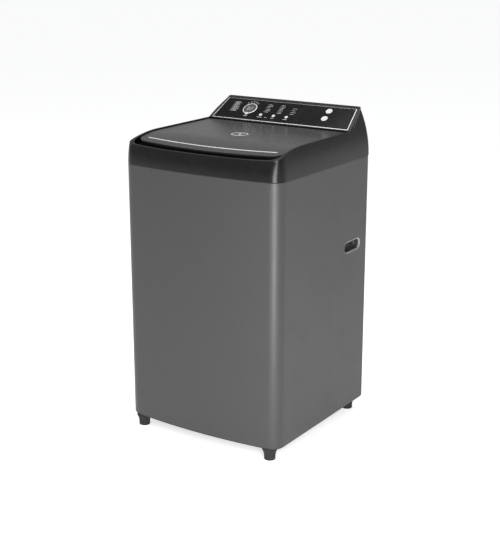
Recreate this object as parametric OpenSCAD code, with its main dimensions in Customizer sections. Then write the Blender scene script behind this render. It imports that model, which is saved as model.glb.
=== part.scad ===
// Top load washing machine: painted steel cabinet, dark moulded top cover with a sloping glass
// control panel, a curved glass lid, and a suspended tub with its basket, pulsator and belt drive.
// Millimetres, +Z up, front towards -Y, origin on the floor under the middle of the footprint.

/* [Cabinet] */
// Overall width of the cabinet
body_w = 540; // [480:1:660]
// Overall depth, from the middle of the bowed front to the back of the top cover
body_d = 540; // [480:1:660]
// Height of the painted wrap, from its lower edge to the top cover
cab_h = 783; // [760:1:960]
// Height of the cabinet's lower edge above the floor
foot_h = 42; // [36:1:60]
// How far the middle of the front stands ahead of its ends
front_bow = 20; // [10:1:30]
// Radius of the front corners in plan
corner_r = 40; // [30:1:55]
// Radius of the rear corners in plan
rear_r = 12; // [8:1:20]
// Thickness of the cabinet sheet
sheet_t = 1.2; // [0.8:0.1:2]
// How far the top cover stands behind the cabinet's back
back_step = 3; // [3:0.5:8]
// Width of the flanges folded round the open back
back_flange = 30; // [20:1:40]
// Screw heads that hold the rear panel on
screw_r = 3.6; // [2.5:0.1:4.5]

/* [Side handles] */
// Length of each hand recess
handle_l = 100; // [80:1:120]
// Height of each hand recess
handle_h = 37; // [28:1:50]
// Depth of each hand recess
handle_depth = 26; // [15:1:32]
// Distance of the recess centre from the cabinet's back
handle_back = 97; // [80:1:140]
// Distance of the recess centre below the top cover
handle_drop = 265; // [120:1:400]

/* [Feet] */
// Radius of a foot's rubber pad
foot_pad_r = 17; // [14:0.5:22]
// Radius of a foot's collar
foot_collar_r = 23; // [20:0.5:28]
// Radius of the threaded stud
foot_stud_r = 5; // [4:0.5:6]
// How far a levelling foot screws out
foot_travel = 12; // [8:1:16]
// Distance of the feet from the cabinet's sides, front and back
foot_inset = 38; // [32:1:50]

/* [Top cover] */
// Height of the side rims above the cabinet
rim_h = 85; // [75:1:100]
// Height of the front rim above the cabinet
front_rim_h = 57; // [48:1:64]
// Height of the console's ridge above the cabinet
top_h = 145; // [136:1:165]
// Slope of the control panel, in degrees
panel_slope = 33; // [28:1:38]
// Radius of the curve from the flat top down to the front rim
brow_r = 410; // [380:5:480]
// Depth of the level stretch behind the top of the cover's front
front_rim_w = 18; // [12:1:26]
// Radius of the inward curve of the cover's sides
side_r = 310; // [280:1:400]
// Radius of the inward curve of the cover's front
apron_r = 170; // [150:1:300]
// Radius of the console's ridge
ridge_r = 10; // [7:0.5:12]
// Wall of the top cover
cover_t = 3; // [2.5:0.1:4]
// Width of the rim beside the lid
rim_w = 7; // [5:0.5:10]
// Depth from the front of the cabinet to the lid's lip
lip_back = 43; // [28:1:48]
// Depth of the seat that the lid closes into
seat_drop = 22; // [21:0.5:26]
// Radius of the loading opening
opening_r = 168; // [150:1:172]
// Distance of the opening's centre ahead of the tub's axis
opening_ahead = 43; // [35:1:50]

/* [Lid] */
// How far the lid lies below the rim
lid_drop = 3.5; // [2:0.5:5]
// Gap between the lid and the rim
lid_gap = 1.5; // [1.2:0.1:3]
// Thickness of the lid's glass
glass_t = 4; // [3:0.5:5]
// Depth of the lid's frame below the glass
frame_t = 12; // [11:0.5:13]
// Width of the frame's solid border
frame_border = 26; // [22:1:32]
// How far the lid opens, in degrees
lid_open = 96; // [80:1:97]
// Radius of the hinge pins
pin_r = 3; // [2.5:0.1:3.5]
// Distance of the hinges from the middle
hinge_x = 200; // [150:1:210]
// Width of the bright strip near the lid's lip
strip_w = 4; // [3:0.5:6]
// Length of the bright strip
strip_l = 448; // [380:1:460]
// Distance of the bright strip behind the lid's lip
strip_back = 23; // [15:1:35]
// Radius of the round badge
badge_r = 25; // [15:1:35]

/* [Control panel] */
// Height of the panel glass along the slope
panel_h = 91; // [84:1:99]
// Distance of the panel glass above the foot of the slope
panel_rise = 6; // [5:0.5:8]
// Thickness of the panel glass
panel_t = 3.2; // [2.5:0.1:4]
// Width of the bright border below and beside the glass
border_w = 3; // [2:0.5:4]
// Width of the bright border above the glass
border_top_w = 1; // [0.8:0.1:3]
// Radius of the small buttons
button_r = 5.5; // [4:0.5:7]
// Radius of the two large buttons
big_button_r = 10.5; // [8:0.5:12]
// How far a button presses in
button_travel = 1.5; // [1:0.1:2]
// Distance between the small option buttons
button_pitch = 47; // [34:1:50]
// Outer radius of the ring round the display
ring_r = 24; // [18:0.5:26]

/* [Tub and drive] */
// Inner radius of the outer tub
tub_r = 223; // [190:1:226]
// Wall of the outer tub
tub_t = 3; // [2.5:0.5:4]
// Height of the tub's floor above the floor of the room
tub_z = 300; // [285:1:330]
// Gap between the tub's rim and the top cover's funnel
tub_head = 16; // [14:1:30]
// Outer radius of the spin basket
basket_r = 210; // [180:1:212]
// Wall of the basket
basket_t = 1; // [0.8:0.1:1.5]
// Radius of the pulsator
pulsator_r = 165; // [120:1:175]
// Outer radius of the hollow spin shaft
spin_shaft_r = 20; // [17:0.5:22]
// Radius of the wash shaft
wash_shaft_r = 8; // [6:0.5:10]
// Running clearance of every shaft, in radius
run_gap = 0.05; // [0.02:0.01:0.1]
// Pitch radius of the large drive pulley
drive_pulley_r = 75; // [60:1:80]
// Pitch radius of the motor pulley
motor_pulley_r = 24; // [20:1:28]
// Distance of the motor's shaft from the tub's axis
motor_off = 132; // [125:1:145]
// Radius of the motor
motor_r = 56; // [45:1:60]
// Distance of each suspension rod from the tub's axis, along X and along Y
rod_off = 200; // [198:1:204]
// Radius of the suspension rods
rod_r = 4; // [3:0.5:5]
// How far the loaded tub sinks on its springs
tub_sink = 30; // [15:1:30]
// How far the tub rises from rest
tub_rise = 6; // [4:1:8]
// Holes in one row round the basket
basket_cols = 16; // [8:1:24]
// Rows of holes in the basket
basket_rows = 5; // [3:1:8]

/* [Water and electrics] */
// Outer radius of the inlet's thread
inlet_r = 13.2; // [10:0.1:14]
// Length of the inlet's thread
inlet_l = 14; // [10:1:16]
// Distance of the inlet from the middle
inlet_x = 150; // [100:1:180]
// Bore of the outlet that the drain hose passes through
drain_bore_r = 17; // [14:0.5:20]
// Bore of the mains cord's gland
cord_bore_r = 4.5; // [3.5:0.1:5]
// Width of the detergent drawer
drawer_w = 108; // [80:1:120]
// Height of the detergent drawer
drawer_h = 38; // [30:1:40]
// Depth of the detergent drawer
drawer_d = 78; // [60:1:84]
// How far the detergent drawer slides out
drawer_travel = 60; // [40:1:66]
// How far the drain valve's plunger is pulled
plunger_travel = 12; // [8:1:14]

/* [Hidden] */
$fn = 96;
arc_n = 12;
part_gap = 0.4;

// The tub's axis, and heights
axis_y = -5;
seam_z = foot_h + cab_h;
rim_z = seam_z + rim_h;
front_rim_z = seam_z + front_rim_h;
ridge_z = seam_z + top_h;

// Cabinet
front_y = -body_d / 2;
back_y = body_d / 2;
cab_back_y = back_y - back_step;
bow_r = (body_w * body_w / 4 + front_bow * front_bow) / (2 * front_bow);
bow_y = front_y + bow_r;
lower_edge_z = foot_h;
handle_y = cab_back_y - handle_back;
handle_z = seam_z - handle_drop;
cup_flange_w = 4;
cup_wall = 2;
rear_panel_t = 1;
panel_in_y = cab_back_y - sheet_t;
base_top_z = foot_h + 26;
base_drop = 4;
base_w = 26;
foot_x = body_w / 2 - foot_inset;
foot_y = body_d / 2 - foot_inset;
foot_block_r = foot_collar_r + 4;
foot_grip_z = foot_h - base_drop - part_gap;

// Top cover and lid
brow_drop = rim_h - front_rim_h;
brow_y = front_y + front_rim_w + sqrt(brow_r * brow_r - pow(brow_r - brow_drop, 2));
console_y = back_y - ridge_r - ridge_r * sin(panel_slope)
    - (top_h - rim_h - ridge_r + ridge_r * cos(panel_slope)) / tan(panel_slope);
rim_half = body_w / 2 - side_r + sqrt(side_r * side_r - rim_h * rim_h);
apron_lean = apron_r - sqrt(apron_r * apron_r - front_rim_h * front_rim_h);
seat_half = rim_half - rim_w;
seat_front_y = front_y + apron_lean + 4;
seat_rear_y = console_y - 0.6;
lid_half = seat_half - lid_gap;
lid_front_y = front_y + lip_back;
lid_rear_y = console_y - 7;
lid_bow_r = bow_r - lip_back;
lid_corner_r = corner_r - 8;
hinge_y = lid_rear_y - 8;
hinge_z = rim_z - 14;
hinge_ear_r = pin_r + 3.2;
hinge_ear_w = 5;
hinge_notch_w = hinge_ear_w + 3;
trough_drop = seat_drop + 8;
trough_y = hinge_y - 14;
opening_y = axis_y - opening_ahead;
funnel_z = seam_z - 8;
funnel_t = 2.5;
frame_top = lid_drop + glass_t;
frame_low = frame_top + frame_t;
badge_y = (lid_front_y + lid_rear_y) / 2 - 5;

// Control panel, in its own axes: X across, Y up the slope, Z out of the panel
border_y = panel_rise - border_w;
border_h = panel_h + border_w + border_top_w;
border_foot_half = rim_half - 12;
border_lean = 0.125;
border_depth = 8;
ring_x = -130;
ring_y = panel_rise + 50;
program_y = ring_y - ring_r;
option_x = ring_x + 53;
option_y = panel_rise + 26;
power_x = 147;
power_y = panel_rise + 71;
start_y = panel_rise + 37;
button_out = 1.2;
button_flange = 1.5;
button_play = 0.4;
carrier_top = -11;
carrier_t = 3;
stem_r = 2.2;
board_top = -22;
board_t = 1.6;

// Tub, basket and drive
tub_top_z = funnel_z - tub_head;
tub_floor_t = 4;
tub_outer_r = tub_r + tub_t;
basket_z = tub_z + 26;
basket_floor_t = 12;
basket_top_z = tub_top_z - 15;
ring_h = 36;
hub_r = 60;
hub_t = 8;
plate_z = tub_z - 6;
plate_t = 3;
plate_r = 100;
housing_r = 55;
housing_flange_r = 70;
housing_z = tub_z - 95;
bearing_r = 36;
belt_z = tub_z - 132;
belt_h = 18;
belt_t = 7;
motor_a = 136;
motor_x = motor_off * cos(motor_a);
motor_y = axis_y + motor_off * sin(motor_a);
shaft_gap_z = tub_z - 68;
ear_z = tub_z + 34;
ear_t = 10;
cup_r = 21;
cup_h = 22;
cap_r = 18;
cap_t = 10;
cap_z = ear_z - cup_h - tub_sink - 46;
spring_z = cap_z + cap_t;
spring_turns = 5;
bracket_z = seam_z - 19;
bracket_t = 2.5;
socket_h = 5;

// Drain side
valve_x = 100;
valve_y = axis_y + 95;
valve_r = 24;
valve_z = tub_z - 55;
rod_z = tub_z - 32;
pivot_x = 60;
pivot_y = axis_y + 53;
lever_l = valve_y - pivot_y - 6;
lever_t = 4;
lever_half = 2.5;

// Water inlet and detergent drawer
inlet_z = seam_z + 35;
well_half = 22;
well_depth = 18;
window_half = rim_half - 44;
window_low_z = seam_z + 8;
window_h = 100;
drawer_gap = 0.6;
housing_t = 2;
drawer_front_y = opening_y + sqrt(pow(opening_r, 2) - pow(drawer_w / 2, 2)) - 2;
drawer_top_z = rim_z - trough_drop - cover_t - housing_t - 2;
drawer_low_z = drawer_top_z - drawer_h;
drain_x = -180;
drain_z = lower_edge_z + 80;
cord_x = 180;
cord_z = lower_edge_z + 120;

// ---------- shared shapes ----------

// Points along an arc
function arc(c, r, a0, a1, n = arc_n) =
    [for (i = [0:n]) let (a = a0 + (a1 - a0) * i / n) [c[0] + r * cos(a), c[1] + r * sin(a)]];

function reversed(list) = [for (i = [len(list) - 1:-1:0]) list[i]];

// Plan outline with a bowed front and round corners
function plan(half, y0, y1, bow, rf, rr) =
    let (
        cy = y0 + bow,
        xc = half - rf,
        yc = cy - sqrt(pow(bow - rf, 2) - xc * xc),
        a = atan2(yc - cy, xc)
    )
    concat(
        arc([0, cy], bow, -180 - a, a, 2 * arc_n),
        arc([xc, yc], rf, a, 0),
        arc([half - rr, y1 - rr], rr, 0, 90, 6),
        arc([rr - half, y1 - rr], rr, 90, 180, 6),
        arc([-xc, yc], rf, 180, 180 - a)
    );

// Top of the cover in side view, at a depth below the rim, from one Y to another
function brow(depth, y0, y1) =
    concat(
        arc([brow_y, rim_z - brow_r], brow_r - depth, 90 + asin((brow_y - y0) / (brow_r - depth)), 90),
        [[y1, rim_z - depth]]
    );

function band(d0, d1, y0, y1) = concat(brow(d0, y0, y1), reversed(brow(d1, y0, y1)));

module along_x(w) {
    rotate([90, 0, 90]) linear_extrude(w, center = true) children();
}

module body_outline(inset, y1) {
    polygon(plan(body_w / 2 - inset, front_y + inset, y1 - inset, bow_r - inset, corner_r - inset,
        max(rear_r - inset, 1)));
}

module lid_outline(inset) {
    polygon(plan(lid_half - inset, lid_front_y + inset, lid_rear_y - inset, lid_bow_r - inset,
        lid_corner_r - inset, 2));
}

module stadium(l, h) {
    square([l - h, h], center = true);
    for (s = [-1, 1]) translate([s * (l - h) / 2, 0]) circle(h / 2);
}

module on_panel() {
    translate([0, console_y, rim_z]) rotate([panel_slope, 0, 0]) children();
}

module at_axis(z = 0) {
    translate([0, axis_y, z]) children();
}

module tube(r1, r0, h) {
    difference() {
        cylinder(r = r1, h = h);
        translate([0, 0, -1]) cylinder(r = r0, h = h + 2);
    }
}

module along_y(y0, y1) {
    translate([0, y0, 0]) rotate([-90, 0, 0]) linear_extrude(y1 - y0) children();
}

// ---------- cabinet ----------

module cabinet_shell() {
    color("#5b5a5a") difference() {
        union() {
            translate([0, 0, lower_edge_z]) linear_extrude(cab_h) difference() {
                body_outline(0, cab_back_y);
                body_outline(sheet_t, cab_back_y);
            }
            // the flange that the top cover stands on
            translate([0, 0, seam_z - sheet_t]) linear_extrude(sheet_t) difference() {
                body_outline(sheet_t / 2, cab_back_y);
                body_outline(14, cab_back_y);
            }
        }
        translate([back_flange - body_w / 2, cab_back_y - 20, lower_edge_z - 1])
            cube([body_w - 2 * back_flange, 30, cab_h - 25]);
        translate([0, handle_y, handle_z]) along_x(body_w + 2) stadium(handle_l, handle_h);
        rear_screw_places() cylinder(r = screw_r / 2 + 0.2, h = 20, center = true);
    }
}

module rear_screw_places() {
    for (s = [-1, 1]) for (k = [0:3])
        translate([s * (body_w / 2 - back_flange / 2 - 4), cab_back_y,
            lower_edge_z + 60 + k * (cab_h - 160) / 3]) rotate([90, 0, 0]) children();
}

module rear_panel() {
    color("#8d9093") difference() {
        union() {
            translate([15 - body_w / 2, panel_in_y - rear_panel_t, base_top_z + part_gap])
                cube([body_w - 30, rear_panel_t, seam_z - 8 - base_top_z - part_gap]);
            // the pressed field that stiffens the panel
            translate([0, panel_in_y, lower_edge_z + cab_h / 2])
                cube([body_w - 2 * back_flange - 40, 2, cab_h - 220], center = true);
        }
        for (k = [0:5]) translate([0, panel_in_y, seam_z - 200 - 16 * k])
            cube([110, 10, 5], center = true);
        rear_screw_places() cylinder(r = screw_r / 2 + 0.2, h = 20, center = true);
        translate([drain_x, panel_in_y, drain_z]) rotate([90, 0, 0])
            cylinder(r = drain_bore_r + 2.5, h = 20, center = true);
        translate([cord_x, panel_in_y, cord_z]) rotate([90, 0, 0])
            cylinder(r = cord_bore_r + 2.5, h = 20, center = true);
    }
}

module rear_screws() {
    color("#c9ccce") rear_screw_places() {
        translate([0, 0, -2.2]) cylinder(r = screw_r, h = 2.2);
        cylinder(r = screw_r / 2, h = 9);
    }
}

module base_frame() {
    color("#232325") difference() {
        union() {
            linear_ring(foot_h - base_drop, foot_h, 3, base_w);
            linear_ring(foot_h, base_top_z, sheet_t + part_gap / 2, base_w);
            intersection() {
                union() {
                    for (x = [-foot_x, foot_x]) for (y = [-foot_y, foot_y])
                        translate([x, y, foot_h - base_drop])
                            cylinder(r = foot_block_r, h = base_top_z - foot_h + base_drop);
                }
                linear_ring(foot_h - base_drop, base_top_z, 3, 90);
            }
        }
        for (x = [-foot_x, foot_x]) for (y = [-foot_y, foot_y])
            translate([x, y, 0]) cylinder(r = foot_stud_r + run_gap, h = base_top_z + 1);
    }
}

module linear_ring(z0, z1, inset, width) {
    translate([0, 0, z0]) linear_extrude(z1 - z0) difference() {
        body_outline(inset, cab_back_y);
        body_outline(width, cab_back_y);
    }
}

// A rubber-soled foot on its threaded stud
module foot() {
    rotate_extrude() polygon(concat(
        [[0, 0], [foot_pad_r - 1.5, 0]],
        arc([foot_pad_r - 1.5, 1.5], 1.5, -90, 0, 4),
        [[foot_pad_r, foot_grip_z * 0.45], [foot_collar_r, foot_grip_z * 0.85],
         [foot_collar_r, foot_grip_z], [foot_stud_r, foot_grip_z],
         [foot_stud_r, base_top_z + foot_travel], [0, base_top_z + foot_travel]]
    ));
}

module rear_feet() {
    color("#1d1d1f") for (x = [-foot_x, foot_x]) translate([x, foot_y, 0]) foot();
}

module front_left_foot() {
    color("#1d1d1f") translate([-foot_x, -foot_y, 0]) foot();
}

module front_right_foot() {
    color("#1d1d1f") translate([foot_x, -foot_y, 0]) foot();
}

// A hand recess: a cup set in the cabinet's side, with a flange behind the sheet
module handle_cup() {
    translate([body_w / 2, handle_y, handle_z]) rotate([90, 0, -90]) difference() {
        union() {
            linear_extrude(handle_depth) stadium(handle_l - part_gap, handle_h - part_gap);
            translate([0, 0, sheet_t]) linear_extrude(1.5)
                stadium(handle_l + 2 * cup_flange_w, handle_h + 2 * cup_flange_w);
        }
        translate([0, 0, -1]) linear_extrude(handle_depth + 1 - cup_wall)
            stadium(handle_l - 2 * cup_wall, handle_h - 2 * cup_wall);
    }
}

module right_handle_cup() {
    color("#3c3b3b") handle_cup();
}

module left_handle_cup() {
    color("#3c3b3b") mirror([1, 0, 0]) handle_cup();
}

// ---------- top cover ----------

// Front view of the cover: sides curving in, with a round shoulder
function cover_front(t) =
    let (
        shoulder = ridge_r - t,
        top = top_h - t,
        ac = asin((top - shoulder) / (side_r - t - shoulder)),
        side = [for (i = [0:arc_n]) let (a = ac * i / arc_n)
            [body_w / 2 - side_r + (side_r - t) * cos(a), seam_z + (side_r - t) * sin(a)]],
        last = side[arc_n],
        right = concat(
            [[body_w / 2 - t, seam_z - 5]], side,
            arc([last[0] - shoulder * cos(ac), last[1] - shoulder * sin(ac)], shoulder, ac, 90, 6)
        )
    )
    concat(right, [for (p = reversed(right)) [-p[0], p[1]]]);

// Side view of the cover: front rim, brow, flat top, console slope, ridge and back
function cover_side(t) =
    let (c = [back_y - ridge_r, ridge_z - ridge_r], r = ridge_r - t, z = rim_z - t,
        tip = c + r * [-sin(panel_slope), cos(panel_slope)])
    concat(
        [[front_y + t, seam_z - 5], [front_y + t, front_rim_z - t]],
        brow(t, front_y + front_rim_w, tip[0] - (tip[1] - z) / tan(panel_slope)),
        arc(c, r, 90 + panel_slope, 0, 8),
        [[back_y - t, seam_z - 5]]
    );

// Front of the cover, leaning in towards its rim
module apron_turn(t) {
    translate([0, bow_y, seam_z]) rotate([0, 0, -105]) rotate_extrude(angle = 30, $fn = 720)
        polygon(concat(
            [[0, -5], [bow_r - t, -5]],
            [for (i = [0:7]) let (h = (front_rim_h + 7) * i / 7)
                [bow_r - t - apron_r + sqrt(apron_r * apron_r - h * h), h]],
            [[bow_r - t - apron_lean - 5, top_h + 5], [0, top_h + 5]]
        ));
}

module cover_solid(t, drop) {
    intersection() {
        translate([0, 0, seam_z - drop]) linear_extrude(top_h + drop + 5) body_outline(t, back_y);
        along_y_center(body_d + 10) polygon(cover_front(t));
        apron_turn(t);
        along_x(body_w + 10) polygon(cover_side(t));
    }
}

module along_y_center(w) {
    rotate([90, 0, 0]) linear_extrude(w, center = true) children();
}

// The space the lid closes into, with its walls moved out by t
module seat_solid(t) {
    intersection() {
        translate([0, 0, seam_z - 10]) linear_extrude(top_h)
            polygon(plan(seat_half + t, seat_front_y - t, seat_rear_y + t, bow_r - 4 + t,
                corner_r - 7 + t, 2));
        along_x(body_w) polygon(band(-30, seat_drop + t, front_y - 20, seat_rear_y + t));
    }
    translate([-seat_half - t, trough_y - t, rim_z - trough_drop - t])
        cube([2 * (seat_half + t), seat_rear_y - trough_y + 2 * t, trough_drop + 2 * t]);
}

module top_cover() {
    color("#2b2a2a") difference() {
        union() {
            difference() {
                cover_solid(0, 0);
                difference() {
                    cover_solid(cover_t, 5);
                    seat_solid(cover_t);
                }
            }
            translate([0, opening_y, funnel_z])
                cylinder(r = opening_r + funnel_t, h = rim_z - seat_drop - funnel_z - 1);
        }
        seat_solid(0);
        translate([0, opening_y, funnel_z - 1]) cylinder(r = opening_r, h = rim_h + 30);
        on_panel() translate([0, 0, -30]) linear_extrude(40) panel_outline(-0.2, -0.2);
        hinge_places() translate([0, 0, -cover_t])
            cube([hinge_ear_w + 0.4, 2 * hinge_ear_r + 0.4, 4 * cover_t], center = true);
        translate([-window_half, back_y - cover_t - 1, window_low_z])
            cube([2 * window_half, cover_t + 2, window_h]);
        translate([-drawer_w / 2 - 3, 0, drawer_low_z - 3])
            cube([drawer_w + 6, opening_r, drawer_h + 6]);
    }
}

module hinge_places() {
    for (s = [-1, 1]) translate([s * hinge_x, hinge_y, rim_z - trough_drop]) children();
}

module lid_hinge_brackets() {
    color("#3a3a3c") hinge_places() difference() {
        union() {
            translate([0, 0, hinge_z - rim_z + trough_drop]) rotate([0, 90, 0])
                cylinder(r = hinge_ear_r, h = hinge_ear_w, center = true);
            // the ear's back stands clear of the glass's edge in the open lid
            translate([-hinge_ear_w / 2, -hinge_ear_r, -cover_t - 3])
                cube([hinge_ear_w, 2 * hinge_ear_r - 2.4, hinge_z - rim_z + trough_drop + cover_t + 3]);
            translate([-12, -12, -cover_t - 3]) cube([24, 24, 3]);
        }
        translate([0, 0, hinge_z - rim_z + trough_drop]) rotate([0, 90, 0])
            cylinder(r = pin_r + run_gap, h = 40, center = true);
    }
}

module lid_sensor() {
    color("#d8d6cc") translate([seat_half - 30, hinge_y - 95, rim_z - seat_drop - cover_t - 14])
        cube([22, 40, 14]);
}

module console_back_cover() {
    color("#2b2a2a") difference() {
        union() {
            translate([part_gap - window_half, back_y - cover_t, window_low_z + part_gap])
                cube([2 * (window_half - part_gap), cover_t, window_h - 2 * part_gap]);
            translate([-window_half - 6, back_y - cover_t - 2.5, window_low_z - 6])
                cube([2 * window_half + 12, 2.5, window_h + 12]);
            inlet_well(well_half + 2, -well_depth - 2, -cover_t);
        }
        inlet_well(well_half, -well_depth, 1);
        translate([-inlet_x, back_y, inlet_z]) rotate([90, 0, 0])
            cylinder(r = inlet_r + part_gap, h = 2 * well_depth + 20, center = true);
    }
}

module inlet_well(half, y0, y1) {
    translate([-inlet_x - half, back_y + y0, inlet_z - half]) cube([2 * half, y1 - y0, 2 * half]);
}

// ---------- control panel ----------

// The panel's outline, narrowing up the slope, set in from the border's outer edge
module panel_outline(inset, top_inset) {
    polygon([
        [inset - border_foot_half, border_y + inset],
        [border_foot_half - inset, border_y + inset],
        [border_foot_half - inset - border_lean * border_h, border_y + border_h - top_inset],
        [inset + border_lean * border_h - border_foot_half, border_y + border_h - top_inset]
    ]);
}

module panel_border() {
    color("#b9bbbd") on_panel() difference() {
        translate([0, 0, -border_depth]) linear_extrude(border_depth) panel_outline(0, 0);
        translate([0, 0, -panel_t]) linear_extrude(panel_t + 1) panel_outline(border_w, border_top_w);
        translate([0, 0, -border_depth - 1]) linear_extrude(border_depth + 2)
            panel_outline(border_w + 5, border_w + 5);
    }
}

module button_place(x, y) {
    on_panel() translate([x, y, 0]) children();
}

module each_button(extra) {
    translate([ring_x, program_y]) circle(button_r + extra);
    for (k = [0:2]) translate([option_x + k * button_pitch, option_y]) circle(button_r + extra);
    for (y = [start_y, power_y]) translate([power_x, y]) circle(big_button_r + extra);
}

module control_panel_glass() {
    color("#101214") on_panel() translate([0, 0, -panel_t]) linear_extrude(panel_t) difference() {
        panel_outline(border_w + part_gap / 2, border_top_w + part_gap / 2);
        translate([ring_x, ring_y]) circle(ring_r + part_gap / 2);
        each_button(button_play);
    }
}

module display_ring() {
    color("#c8cacc") on_panel() translate([ring_x, ring_y, -panel_t]) difference() {
        tube(ring_r, ring_r - 2.5, panel_t + 1);
        translate([0, -ring_r, -1]) cylinder(r = button_r + button_play, h = panel_t + 4);
    }
}

module display_window() {
    color("#4c5054") on_panel() translate([ring_x, ring_y, -panel_t]) difference() {
        cylinder(r = ring_r - 2.5 - part_gap / 4, h = panel_t + 0.3);
        translate([0, -ring_r, -1]) cylinder(r = button_r + button_play, h = panel_t + 4);
    }
}

module panel_button(x, y, r) {
    button_place(x, y) {
        translate([0, 0, -border_depth]) cylinder(r = r, h = border_depth + button_out);
        translate([0, 0, -border_depth]) cylinder(r = r + button_flange, h = 2);
        translate([0, 0, carrier_top - carrier_t - 2]) cylinder(r = stem_r, h = 6);
    }
}

module program_button() {
    color("#dcdce0") panel_button(ring_x, program_y, button_r);
}

module temperature_button() {
    color("#dcdce0") panel_button(option_x, option_y, button_r);
}

module level_button() {
    color("#dcdce0") panel_button(option_x + button_pitch, option_y, button_r);
}

module spin_button() {
    color("#dcdce0") panel_button(option_x + 2 * button_pitch, option_y, button_r);
}

module power_button() {
    color("#e4e4e8") panel_button(power_x, power_y, big_button_r);
}

module start_button() {
    color("#e4e4e8") panel_button(power_x, start_y, big_button_r);
}

module button_carrier() {
    color("#1b1b1d") on_panel() difference() {
        union() {
            translate([-190, border_y + 3, carrier_top - carrier_t]) cube([380, border_h - 6, carrier_t]);
            for (y = [border_y + 3, border_y + border_h - 8])
                translate([-190, y, carrier_top - carrier_t])
                    cube([380, 5, -border_depth - carrier_top + carrier_t]);
            for (x = [-165, 0, 185]) for (y = [panel_rise + 30, panel_rise + 82])
                translate([x, y, board_top]) cylinder(r = 3, h = carrier_top - board_top);
        }
        translate([0, 0, -40]) linear_extrude(40) {
            translate([ring_x, program_y]) circle(stem_r + 0.3);
            for (k = [0:2]) translate([option_x + k * button_pitch, option_y]) circle(stem_r + 0.3);
            for (y = [start_y, power_y]) translate([power_x, y]) circle(stem_r + 0.3);
        }
    }
}

module control_board() {
    color("#2f5d3a") on_panel() {
        translate([-172, panel_rise + 22, board_top - board_t]) cube([364, 68, board_t]);
        translate([60, panel_rise + 40, board_top - board_t - 18]) cube([34, 30, 18]);
        for (k = [0:3]) translate([-40 + 22 * k, panel_rise + 60, board_top - board_t - 14])
            cube([16, 20, 14]);
        translate([-150, panel_rise + 55, board_top - board_t - 9]) cube([40, 12, 9]);
    }
}

// ---------- water inlet, detergent, sensors, outlets ----------

module inlet_valve() {
    color("#e6e6e2") translate([-inlet_x, back_y - well_depth - 2, inlet_z]) {
        along_y(-44, -part_gap) square([46, 40], center = true);
        rotate([90, 0, 0]) difference() {
            union() {
                translate([0, 0, -2 - inlet_l]) cylinder(r = inlet_r, h = inlet_l);
                translate([0, 0, -3]) cylinder(r = inlet_r - 1, h = 3 + part_gap);
            }
            translate([0, 0, -3 - inlet_l]) cylinder(r = inlet_r - 4, h = inlet_l + 3);
        }
        translate([0, -24, 20]) cylinder(r = 13, h = 26);
        // outlet pipe to the detergent housing
        translate([23, -24, 0]) rotate([0, 90, 0])
            cylinder(r = 8, h = inlet_x - 23 - drawer_w / 2 - housing_t - 1);
    }
}

module detergent_housing() {
    w = drawer_w + 2 * drawer_gap + 2 * housing_t;
    h = drawer_h + 2 * housing_t + drawer_gap + 2;
    y0 = opening_y + opening_r + funnel_t + 1;
    color("#cfd3d6") difference() {
        translate([-w / 2, y0, drawer_low_z - drawer_gap - housing_t])
            cube([w, drawer_front_y + drawer_d + 8 - y0, h]);
        translate([housing_t - w / 2, y0 - 1, drawer_low_z - drawer_gap])
            cube([w - 2 * housing_t, drawer_front_y + drawer_d + 9 - y0 - housing_t, h - 2 * housing_t]);
    }
}

module detergent_drawer() {
    color("#e9ecee") translate([-drawer_w / 2, drawer_front_y, drawer_low_z]) difference() {
        cube([drawer_w, drawer_d, drawer_h]);
        translate([3, 4, 3]) cube([drawer_w * 0.6 - 4.5, drawer_d - 8, drawer_h]);
        translate([drawer_w * 0.6 + 1.5, 4, 3]) cube([drawer_w * 0.4 - 4.5, drawer_d - 8, drawer_h]);
        // finger slot under the front edge
        translate([drawer_w / 2 - 22, -1, -1]) cube([44, 3.5, 12]);
    }
}

module pressure_sensor() {
    color("#e8e8e0") translate([window_half - 40, back_y - cover_t - 2.5, inlet_z]) rotate([90, 0, 0]) {
        cylinder(r = 28, h = 10);
        translate([0, 0, 10]) cylinder(r = 20, h = 8);
        translate([0, 0, 18]) cylinder(r = 3.5, h = 10);
    }
}

// A collar snapped into the rear panel
module collar(r) {
    rotate([90, 0, 0]) {
        translate([0, 0, -3]) tube(r + 2, r, 11);
        translate([0, 0, rear_panel_t + sheet_t]) tube(r + 5, r, 2);
    }
}

module drain_outlet() {
    color("#2a2a2c") translate([drain_x, cab_back_y, drain_z]) collar(drain_bore_r);
}

module cord_gland() {
    color("#2a2a2c") translate([cord_x, cab_back_y, cord_z]) collar(cord_bore_r);
}

// ---------- suspension ----------

module rod_places() {
    for (x = [-rod_off, rod_off]) for (y = [-rod_off, rod_off])
        translate([x, axis_y + y, 0]) children();
}

module suspension_brackets() {
    color("#8d9093") difference() {
        union() {
            intersection() {
                translate([0, 0, bracket_z]) linear_extrude(bracket_t)
                    body_outline(sheet_t + part_gap / 2, cab_back_y - rear_panel_t);
                for (x = [-1, 1]) for (y = [-1, 1])
                    translate([x * (rod_off + 33), axis_y + y * (rod_off + 33), bracket_z])
                        cube([120, 120, 20], center = true);
            }
            rod_places() translate([0, 0, bracket_z + bracket_t]) cylinder(r = 13, h = socket_h);
        }
        rod_places() cylinder(r = rod_r + 2, h = seam_z);
    }
}

module suspension_rods() {
    color("#b5b8ba") rod_places() {
        translate([0, 0, cap_z]) cylinder(r = rod_r, h = bracket_z + bracket_t + socket_h - cap_z);
        translate([0, 0, cap_z]) cylinder(r = cap_r, h = cap_t);
        translate([0, 0, bracket_z + bracket_t + socket_h]) cylinder(r = 10, h = 5);
    }
}

module suspension_cups() {
    color("#3a3a3c") rod_places() translate([0, 0, ear_z - cup_h]) tube(cup_r, rod_r + 2, cup_h);
}

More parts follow.
